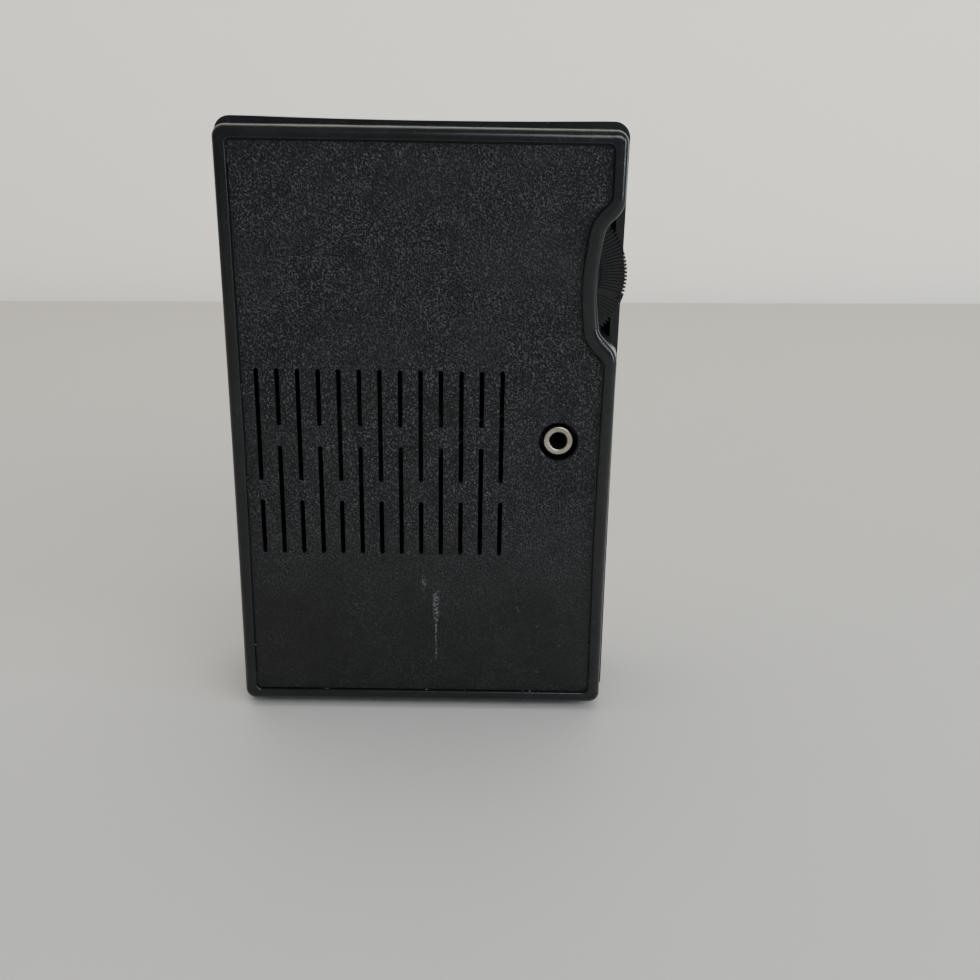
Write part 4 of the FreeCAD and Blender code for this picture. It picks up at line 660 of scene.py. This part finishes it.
def make_grained_panel(material):
    """A thin sheet of leather grain on the cover's panel, open at the slots and at the jack hole."""
    runs = panel_runs()
    low, high = runs.min(axis=(0, 1)), runs.max(axis=(0, 1))
    columns = np.arange(low[0], high[0] + GRAIN_STEP, GRAIN_STEP)
    rows = np.arange(low[1], high[1] + GRAIN_STEP, GRAIN_STEP)
    inside = inside_runs(runs, columns, rows)
    distance, nearest = nearest_on_runs(runs, columns, rows, GRAIN_STEP)
    snapped = distance < GRAIN_STEP * 0.5
    kept = inside | snapped
    middle_in = inside_runs(runs, columns[:-1] + GRAIN_STEP / 2, rows[:-1] + GRAIN_STEP / 2)
    numbers = {}
    verts = []
    for row, column in zip(*np.nonzero(kept)):
        if snapped[row, column]:
            x, z = nearest[row, column]
            y = PANEL_Y - EDGE_SINK
        else:
            x, z = columns[column], rows[row]
            rubbed = min(1.0, 0.3 + 0.7 * max(0.0, (z - RUBBED_Z) / (FRESH_Z - RUBBED_Z)))
            y = PANEL_Y + SHEET_RISE + GRAIN_DEPTH * rubbed * grain_height(x, z)
        numbers[row, column] = len(verts)
        verts.append((x * MM, y * MM, z * MM))
    faces = []
    for row in range(len(rows) - 1):
        for column in range(len(columns) - 1):
            ring = [(row, column), (row + 1, column), (row + 1, column + 1), (row, column + 1)]
            corners = [numbers[place] for place in ring if place in numbers]
            free = any(inside[place] and not snapped[place] for place in ring)
            if len(corners) >= 3 and (middle_in[row, column] or free):
                faces.append(corners)
    mesh = bpy.data.meshes.new("grained_panel")
    mesh.from_pydata(verts, [], faces)
    finish_piece("grained_panel", mesh, material, "rear_cover")


def make_camera():
    """A camera behind the radio and a little above it, turned as the picture was taken."""
    eye = Vector((-11.73, PANEL_Y + 217.91, 0.5 + 129.12)) * MM
    pitch, yaw, roll = math.radians(20.0), math.radians(0.534), math.radians(-0.995)
    # seen from behind, right is -X and away is -Y
    flat = math.cos(pitch)
    ahead = Vector((-math.sin(yaw) * flat, -math.cos(yaw) * flat, -math.sin(pitch)))
    level = Vector((-math.cos(yaw), math.sin(yaw), 0))
    down = ahead.cross(level)
    right = level * math.cos(roll) + down * math.sin(roll)
    up = level * math.sin(roll) - down * math.cos(roll)
    data = bpy.data.cameras.new("camera")
    data.lens = 42.245
    data.sensor_width = 36
    data.clip_start = 0.005
    camera = bpy.data.objects.new("camera", data)
    turned = Matrix((right, up, -ahead)).transposed()
    camera.matrix_world = Matrix.Translation(eye) @ turned.to_4x4()
    bpy.context.scene.collection.objects.link(camera)
    bpy.context.scene.camera = camera


def area_light(name, place, target, size, power, tint=(1, 1, 1), mirrored=True):
    data = bpy.data.lights.new(name, "AREA")
    data.shape = "RECTANGLE"
    data.size, data.size_y = size
    data.energy = power
    data.color = tint
    lamp = bpy.data.objects.new(name, data)
    lamp.location = place
    lamp.visible_glossy = mirrored
    lamp.rotation_euler = (Vector(target) - Vector(place)).to_track_quat("-Z", "Y").to_euler()
    bpy.context.scene.collection.objects.link(lamp)


def make_stage():
    """A pale table top with a wall behind it, slightly askew, painted lighter and warmer towards the wall as
    painted light, and light from above and from two windows.
    """
    # metres: how far back the table's edge lies, half the width, the depth in front and the wall's height
    back, side, near, tall = -0.449, 2.5, 2.5, 2.5
    slope, gap, below = 0.067, 0.02, 0.6
    table_paint = Paint("table_paint")
    cloud = table_paint.noise(60, 3.0, 0.5)
    near_tone = table_paint.mix(cloud, (0.365, 0.358, 0.336), (0.385, 0.378, 0.356))
    # painted light: the table is painted lighter and warmer towards the wall
    painted_light_near_wall = table_paint.between(table_paint.part("Y"), -0.40, 0.05, 1.0, 0.0)
    table_paint.drive("Base Color", table_paint.mix(painted_light_near_wall, near_tone, (0.43, 0.405, 0.345)))
    table_paint.set(roughness=0.6)
    wall_paint = Paint("wall_paint")
    cloud = wall_paint.noise(300, 2.0, 0.5)
    wall_paint.drive("Base Color", wall_paint.mix(cloud, (0.96, 0.90, 0.785), (0.97, 0.91, 0.795)))
    wall_paint.set(roughness=0.9)
    left, right = back - slope * side, back + slope * side
    for name, corners, paint in (
        ("table", [(-side, left, 0), (side, right, 0), (side, near, 0), (-side, near, 0)], table_paint),
        ("wall", [(-side, left - gap, -below), (-side, left - gap, tall), (side, right - gap, tall),
                  (side, right - gap, -below)], wall_paint),
    ):
        mesh = bpy.data.meshes.new(name)
        mesh.from_pydata([Vector(c) for c in corners], [], [(0, 1, 2, 3)])
        mesh.materials.append(paint.material)
        piece = bpy.data.objects.new(name, mesh)
        bpy.context.scene.collection.objects.link(piece)
    world = bpy.data.worlds.new("room")
    world.use_nodes = True
    sky = world.node_tree.nodes["Background"].inputs
    sky["Color"].default_value = (0.86, 0.88, 0.92, 1)
    sky["Strength"].default_value = 0.36
    bpy.context.scene.world = world
    area_light("overhead", (0.1, -0.1, 1.2), (0, -0.30, 0), (1.3, 1.1), 15, mirrored=False)
    area_light("window", (-0.55, 0.95, 0.80), (0, 0, 0.05), (1.1, 0.6), 15, (0.93, 0.96, 1.0))
    area_light("side_window", (-1.25, 0.42, 0.34), (0, 0, 0.06), (0.30, 0.8), 9, (0.70, 0.85, 1.0))


# ---- electric details ----

# a lead's or a joint's foot stands this far above the board
FOOT_RISE = 0.05


def leads(name, radius, material_name, tint, paths):
    """Leads covered in soft PVC of one colour, a little dirty."""
    wires(name, paths, radius, plastic(material_name, tint, 0.38, 0.2, 0.4))


def make_leads():
    """The leads inside: battery, loudspeaker, earphone jack and aerial coil."""
    left, foot, board_y = BOARD.x0, BOARD.z0, BOARD.y1
    end_y = board_y + FOOT_RISE
    snap = Box("battery_snap")
    leads("lead_red", 0.55, "lead_red", (0.42, 0.012, 0.01), [[
        (snap.x0 + 0.9, snap.y + 2, snap.z1 - 2), (snap.x0 + 0.9, snap.y + 2.2, snap.z1 + 1.6),
        (snap.x0 - 2.6, board_y + 2.8, snap.z1 + 4.6), (left + 8.5, board_y + 1.8, foot + 1.8),
        (left + 9, end_y, foot + 2.2)]])
    leads("lead_black", 0.55, "lead_black", (0.012, 0.012, 0.013), [[
        (snap.x0 + 0.9, snap.y - 1, snap.z1 - 2), (snap.x0 + 0.9, snap.y - 0.6, snap.z1 + 2.2),
        (snap.x0 + 2.4, board_y + 2.4, snap.z1 + 4.4), (left + 11.2, board_y + 2.1, foot + 1.4),
        (left + 11.4, end_y, foot + 2.0)]])
    magnet = Box("speaker_magnet")
    edge, lug_y, z = magnet.x0, magnet.y0 + 1.5, magnet.z
    leads("lead_speaker", 0.45, "lead_grey", (0.22, 0.21, 0.20), [[
        (edge - 3.4, lug_y, z + side), (edge - 7, lug_y + 2.4, z + 3 + side),
        (edge - 11, board_y + 2.6, z + 5 + side), (left + 14.8, board_y + 1.8, z + 6.4 + side),
        (left + 14.2, end_y, z + 6.2 + side)] for side in (-1.4, 1.4)])
    jack = Box("earphone_jack_body")
    leads("lead_jack", 0.4, "lead_yellow", (0.50, 0.33, 0.03), [[
        (jack.x + side, jack.y1 - 3, jack.z1 - 0.2), (jack.x + side, jack.y1 - 2.4, jack.z1 + 1.6),
        (jack.x + side * 1.4, board_y + 2.2, jack.z1 + 3.2),
        (jack.x + side * 1.6, end_y, jack.z1 + 4.2)] for side in (-2.6, 0.2, 2.8)])
    coil = Box("aerial_coil")
    enamel = metal("enamel_wire", (0.55, 0.20, 0.06), 0.3, tarnish=(0.2, 0.06, 0.02))
    starts = ((coil.x0 + 0.4, -1.2), (coil.x0 + 3, -0.5), (coil.x1 - 0.5, 1.1))
    wires("aerial_wires", [[
        (x, coil.y0 + 5.2, coil.z0 + 0.1), (x + lean, coil.y0 + 1.6, coil.z0 - 1.2),
        (x + 2 * lean, board_y + 0.9, coil.z0 - 1.8), (x + 2 * lean, end_y, coil.z0 - 1.4)]
        for x, lean in starts], 0.16, enamel, sides=8)


def make_aerial_winding():
    """Enamelled wire wound in one layer over the ferrite rod's paper tube."""
    coil = Box("aerial_coil")
    pitch, wire, per_turn = 0.46, 0.22, 24
    radius = coil.height / 2 - 0.06
    start = coil.x0 + 0.9
    turns = int(coil.width / pitch) - 3
    path = []
    for step in range(turns * per_turn + 1):
        angle = 2 * math.pi * step / per_turn
        path.append((start + pitch * step / per_turn, coil.y + radius * math.cos(angle),
                     coil.z + radius * math.sin(angle)))
    bm = bmesh.new()
    tube(bm, path, wire, 6)
    litz = metal("litz_wire", (0.62, 0.26, 0.09), 0.34, (1, 1, 1), tarnish=(0.25, 0.08, 0.03))
    finish_mesh("aerial_winding", bm, litz, "radio")


def make_solder():
    """Small shiny cones of solder where the leads meet the board and in two rows beside them."""
    places = [(BOARD.x0 + 9, BOARD.z0 + 2.2), (BOARD.x0 + 11.4, BOARD.z0 + 2.0)]
    places += [(BOARD.x0 + 3.2 + 2.4 * k, BOARD.z0 + 30.8) for k in range(4)]
    places += [(BOARD.x0 + 18 + 5.1 * k, BOARD.z1 - 22.8) for k in range(9)]
    cone = ((-0.05, 1), (0.12, 0.93), (0.34, 0.6), (0.62, 0.3), (0.72, 0))
    bm = bmesh.new()
    for place in places:
        size = rng.uniform(0.75, 1.0)
        turned(bm, place, [(BOARD.y1 + rise, size * part) for rise, part in cone], 16)
    finish_mesh("solder_joints", bm, metal("solder", (0.55, 0.55, 0.54), 0.24, (1, 1, 1)), "radio")


def make_control_lugs():
    """Three tinned lugs, bent from the volume control down to the board."""
    can = Box("volume_control")
    bm = bmesh.new()
    for shift in (-3.2, 0, 3.2):
        x = can.x + shift
        path = [(x, can.y0 + 2.4, can.z0 + 1.6), (x, can.y0 + 2.4, can.z0 - 0.8),
                (x, can.y0 + 1.4, can.z0 - 1.8), (x, can.y0 + 0.1, can.z0 - 1.9)]
        tube(bm, curve_through(path, 5), 0.42, 8)
    finish_mesh("control_lugs", bm, metal("tinned", (0.60, 0.60, 0.58), 0.3), "radio")


def make_can_seams():
    """A folded bead round the open end of each screening can."""
    bm = bmesh.new()
    for index in range(1, 5):
        can = Box(f"tuned_can_{index}")
        tube(bm, rounded_ring(can, can.y1 - 0.02, 0.8, 0.12, 4), 0.2, 8, close=False)
    finish_mesh("can_beads", bm, metal("can_bead", (0.62, 0.62, 0.61), 0.3), "radio")


def make_coil_cuffs():
    """Waxed paper cuffs on the ferrite rod, at both ends of the aerial coil."""
    coil = Box("aerial_coil")
    rod = Box("ferrite_rod").height / 2
    profile = ((0.0, 0.05), (0.0, 0.4), (0.25, 0.55), (3.6, 0.5), (3.9, 0.35), (3.9, 0.05))
    bm = bmesh.new()
    for edge, out in ((coil.x0, -1), (coil.x1, 1)):
        rings = []
        for shift, wall in profile:
            x, radius = edge + out * shift, rod + wall
            rings.append([bm.verts.new(Vector((x, coil.y + radius * c, coil.z + radius * s)) * MM)
                          for c, s in circle(40)])
        for first, second in zip(rings, rings[1:] + rings[:1]):
            bridge(bm, first, second)
    paper = fibrous("waxed_paper", (0.40, 0.27, 0.12), (0.56, 0.41, 0.20), 0.3, 0.05, 0.5, 0.0)
    finish_mesh("coil_cuffs", bm, paper, "radio")


def make_groove_lint():
    """Specks of dust and fibre caught in the fine groove round the panel, most of them along its foot."""
    runs = panel_runs()
    low, high = runs.min(axis=(0, 1)), runs.max(axis=(0, 1))
    specks, along_foot = 90, 62
    bm = bmesh.new()
    for index in range(specks):
        if index < along_foot:
            x, z = rng.uniform(low[0] + 1.5, high[0] - 1.5), low[1] - rng.uniform(0.02, 0.22)
        else:
            x, z = rng.choice((low[0] - 0.12, high[0] + 0.12)), rng.uniform(low[1] + 2, low[1] + 60)
        size = rng.uniform(0.05, 0.13)
        stretch = rng.uniform(1.0, 3.2)
        speck = bmesh.ops.create_icosphere(bm, subdivisions=1, radius=size * MM)["verts"]
        for vert in speck:
            push = 1 + 0.45 * noise.noise(vert.co / MM * 9 + Vector((index, 0, 0)))
            co = vert.co * push
            vert.co = Vector((co.x * stretch + x * MM, co.y * 0.7 + (PANEL_Y - 0.12) * MM, co.z + z * MM))
    lint = fibrous("lint", (0.22, 0.21, 0.19), (0.40, 0.38, 0.34), 0.08, 0.02)
    finish_mesh("groove_lint", bm, lint, "rear_cover")


# ---- front details ----

# strokes of each digit as (across, up), in a cell 2 wide and 4 high
DIGITS = {
    "0": [[(0, 1), (0, 3), (1, 4), (2, 3), (2, 1), (1, 0), (0, 1)]],
    "1": [[(0.4, 3.2), (1.2, 4), (1.2, 0)]],
    "2": [[(0, 3.2), (0.6, 4), (1.5, 4), (2, 3.2), (1.8, 2.3), (0, 0), (2, 0)]],
    "4": [[(1.6, 0), (1.6, 4), (0, 1.3), (2, 1.3)]],
    "5": [[(2, 4), (0.3, 4), (0.1, 2.3), (1.3, 2.5), (2, 1.7), (1.9, 0.7), (1.1, 0), (0, 0.4)]],
    "6": [[(1.8, 3.7), (0.9, 4), (0.1, 2.6), (0, 1), (1, 0), (2, 1), (1.6, 2.1), (0.6, 2.2), (0.1, 1.5)]],
    "7": [[(0, 4), (2, 4), (0.8, 0)]],
    "8": [[(1, 2.1), (0.1, 3), (1, 4), (1.9, 3), (1, 2.1), (0, 1.1), (1, 0), (2, 1.1), (1, 2.1)]],
}


def raised_stroke(bm, points, half, floor_y, top_y):
    """A flat raised line through points (x, z), seen from the front, with mitred bends."""
    sides = []
    for index, (x, z) in enumerate(points):
        before, after = points[max(index - 1, 0)], points[min(index + 1, len(points) - 1)]
        ahead = Vector((after[0] - before[0], after[1] - before[1])).normalized()
        sides.append((Vector((x - ahead.y * half, z + ahead.x * half)),
                      Vector((x + ahead.y * half, z - ahead.x * half))))
    rows = []
    for first, second in sides:
        rows.append([bm.verts.new(Vector(place) * MM) for place in (
            (first.x, floor_y, first.y), (first.x, top_y, first.y), (second.x, top_y, second.y),
            (second.x, floor_y, second.y))])
    for first, second in zip(rows, rows[1:]):
        bridge(bm, first, second)
    bm.faces.new(rows[0])
    bm.faces.new(rows[-1][::-1])


def make_dial_scale():
    """Raised tuning scale in the dial's sunk ring: tick marks and plain numbers that turn with it."""
    dial = Box("tuning_knob")
    top = dial.y0 + 0.01
    floor = top + 0.18
    numbers = ("16", "14", "12", "10", "8", "7", "6", "5")
    span, ticks = 292, 28
    start = 180 - span / 2
    number_reach, long_tick, short_tick, tick_end = 10.4, 12.2, 12.8, 13.6
    bm = bmesh.new()
    for step in range(ticks + 1):
        angle = math.radians(start + span * step / ticks)
        inner = long_tick if step % 4 == 0 else short_tick
        ends = [(dial.x + reach * math.cos(angle), dial.z + reach * math.sin(angle))
                for reach in (inner, tick_end)]
        raised_stroke(bm, ends, 0.14, floor, top)
    size, advance = 0.52, 1.45
    for step, text in enumerate(numbers):
        angle = math.radians(start + span * step / (len(numbers) - 1))
        x0, z0 = dial.x + number_reach * math.cos(angle), dial.z + number_reach * math.sin(angle)
        width = (len(text) - 1) * advance + 2 * size
        # each number stands upright where the pointer reads it, so its baseline follows the ring
        lean = angle - math.pi
        for place, digit in enumerate(text):
            for line in DIGITS[digit]:
                points = []
                for u, v in line:
                    across = place * advance + u * size - width / 2
                    up = (v - 2) * size
                    points.append((x0 + across * math.cos(lean) - up * math.sin(lean),
                                   z0 + across * math.sin(lean) + up * math.cos(lean)))
                raised_stroke(bm, points, 0.15, floor, top)
    ink = plastic("scale_ink", (0.66, 0.64, 0.58), 0.45, 0.12, 0.2)
    finish_mesh("dial_scale", bm, ink, "tuning_dial", smooth=False)


def make_plate_frame(name, node, material):
    """A rounded bright bead round a front plate."""
    plate = Box(node)
    bm = bmesh.new()
    tube(bm, rounded_ring(plate, plate.y0, 2.0, 1.1, 8), 0.42, 12, close=False)
    finish_mesh(name, bm, material, "radio")


def make_speaker_cloth():
    """Woven cloth stretched across the loudspeaker's mouth, just behind the grille."""
    gasket = Box("speaker_gasket")
    front = Box("speaker_grille").y1 + 0.08
    radius = gasket.height / 2 - 2.8
    thickness, sag, steps = 0.18, 0.35, 12
    bm = bmesh.new()
    rims = []
    for back in (0.0, thickness):
        profile = [(front + back + sag * (1 - (step / steps) ** 2), radius * step / steps)
                   for step in range(steps + 1)]
        rims.append(turned(bm, (gasket.x, gasket.z), profile, 72)[-1])
    bridge(bm, *rims)
    cloth = woven("grille_cloth", (0.05, 0.045, 0.04), (0.22, 0.17, 0.10))
    finish_mesh("speaker_cloth", bm, cloth, "radio")


# ---- putting it together ----

def dress_nodes():
    """Give every CAD node its own finish."""
    dress(smooth_moulding("cover_moulding", rough=0.19), "rear_cover")
    dress(smooth_moulding("housing_moulding", rough=0.31), "front_housing")
    dress(smooth_moulding("wheel_moulding", rough=0.20, wear=0.45), "volume_wheel")
    dress(smooth_moulding("knob_moulding", rough=0.26), "tuning_knob")
    dress(metal("jack_nickel", (0.44, 0.41, 0.34), 0.26, (1, 0.2, 1), dulled=0.4), "earphone_bushing")
    dress(metal("pin_nickel", (0.60, 0.58, 0.54), 0.3, (0.05, 1, 1)), "strap_pin", "battery_terminals")
    dress(metal("brushed_aluminium", (0.60, 0.595, 0.58), 0.30, (0.02, 1, 1), dulled=0.1),
          "speaker_grille", "dial_plate")
    dress(plastic("pointer_red", (0.50, 0.014, 0.010), 0.28, 0.06), "dial_pointer")
    dress(metal("spun_aluminium", (0.72, 0.71, 0.69), 0.25, (1, 1, 1)), "tuning_cap")
    dress(metal("brass", (0.62, 0.42, 0.16), 0.28, (1, 0.1, 1)), "tuning_shaft", "volume_shaft")
    dress(metal("screw_steel", (0.50, 0.50, 0.49), 0.3, (1, 1, 1), dulled=0.4),
          "tuning_screw", "volume_screw", "board_screws")
    dress(plastic("capacitor_case", (0.62, 0.60, 0.52), 0.32, 0.08, clear=0.3), "tuning_capacitor")
    dress(metal("control_steel", (0.48, 0.48, 0.46), 0.36, (1, 1, 0.2), dulled=0.4), "volume_control")
    dress(fibrous("felt_brown", (0.07, 0.045, 0.028), (0.15, 0.10, 0.065), 0.22, 0.14), "speaker_gasket")
    # painted shade: the loudspeaker's basket and magnet are coloured dark to stand for the shade inside the
    # case, seen through the cover's slots
    dress(metal("basket_steel", (0.16, 0.16, 0.155), 0.42, (1, 1, 1), dulled=0.5), "speaker_frame")
    dress(fibrous("cone_paper", (0.045, 0.042, 0.038), (0.10, 0.092, 0.08), 0.35, 0.08, 0.85), "speaker_cone")
    dress(plastic("magnet_painted_shade", (0.012, 0.012, 0.013), 0.38, 0.4, 0.3), "speaker_magnet")
    dress(phenolic_board("phenolic"), "circuit_board")
    dress(plastic("ferrite", (0.030, 0.028, 0.028), 0.55, 0.35, 0.12), "ferrite_rod")
    dress(fibrous("coil_tube", (0.30, 0.20, 0.09), (0.42, 0.30, 0.15), 0.3, 0.05, 0.55, 0.0), "aerial_coil")
    dress(plastic("holder_nylon", (0.55, 0.53, 0.46), 0.4, 0.1, clear=0.15), "aerial_holders")
    dress(metal("can_aluminium", (0.60, 0.60, 0.58), 0.34, (1, 0.05, 1), dulled=0.4),
          *[f"tuned_can_{index}" for index in range(1, 5)])
    first_can, second_can = (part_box(f"tuned_can_{index}")[0].x for index in (1, 2))
    dress(coloured_by_place("core_lacquer", "X", first_can / MM, (second_can - first_can) / MM,
                            [(0.45, 0.012, 0.01), (0.62, 0.42, 0.02), (0.60, 0.58, 0.52),
                             (0.014, 0.014, 0.015)]),
          "tuning_cores")
    dress(laminated("core_plates"), "output_transformer", "driver_transformer")
    dress(fibrous("winding_tape", (0.50, 0.30, 0.05), (0.66, 0.44, 0.10), 0.5, 0.04, 0.42, 0.0),
          "output_transformer_winding", "driver_transformer_winding")
    blue, black = (0.015, 0.05, 0.16), (0.016, 0.016, 0.018)
    for index, sleeve in enumerate((blue, blue, black), start=1):
        node = f"electrolytic_{index}"
        dress(sleeved_can(f"sleeve_{index}", node, sleeve, (0.45, 0.46, 0.48)), node)
    dress(with_wire_legs("transistor_case", (0.014, 0.014, 0.015), BOARD.y1 + 2.4, 0.25),
          *[f"transistor_{index}" for index in range(1, 7)])
    first_body, body_step, body_length = Box("resistors").x0 + 0.95, 7.2, 4.62
    # each stripe's start and end along a body, and its colour
    stripes = ((0.5, 1.0, (0.30, 0.06, 0.01)), (1.5, 2.0, (0.03, 0.02, 0.20)), (2.5, 3.0, (0.45, 0.10, 0.01)),
               (3.8, 4.15, (0.42, 0.26, 0.05)))
    dress(with_wire_legs("resistor_lacquer", (0.36, 0.22, 0.11), BOARD.y1 + 0.68, 0.4,
                         (first_body, body_step, body_length, stripes)), "resistors")
    dress(with_wire_legs("disc_ceramic", (0.46, 0.17, 0.035), BOARD.y1 + 0.9, 0.4), "disc_capacitors")
    dress(plastic("jack_phenolic", (0.014, 0.012, 0.011), 0.42), "earphone_jack_body")
    dress(battery_wrap("battery_wrap"), "battery")
    dress(plastic("snap_vinyl", (0.012, 0.012, 0.013), 0.5, 0.3, 0.35), "battery_snap")
    dress(fibrous("foam_grey", (0.10, 0.10, 0.098), (0.20, 0.20, 0.195), 0.6, 0.35, 0.95, 0.1), "battery_pad")


make_stage()
make_camera()
dress_nodes()
make_grained_panel(leather_moulding("leather_black"))
make_leads()
make_aerial_winding()
make_solder()
make_control_lugs()
make_can_seams()
make_coil_cuffs()
make_groove_lint()
make_dial_scale()
bright = metal("bead_chrome", (0.70, 0.69, 0.67), 0.16, (1, 1, 1), dulled=0.15)
make_plate_frame("grille_bead", "speaker_grille", bright)
make_plate_frame("dial_bead", "dial_plate", bright)
make_speaker_cloth()
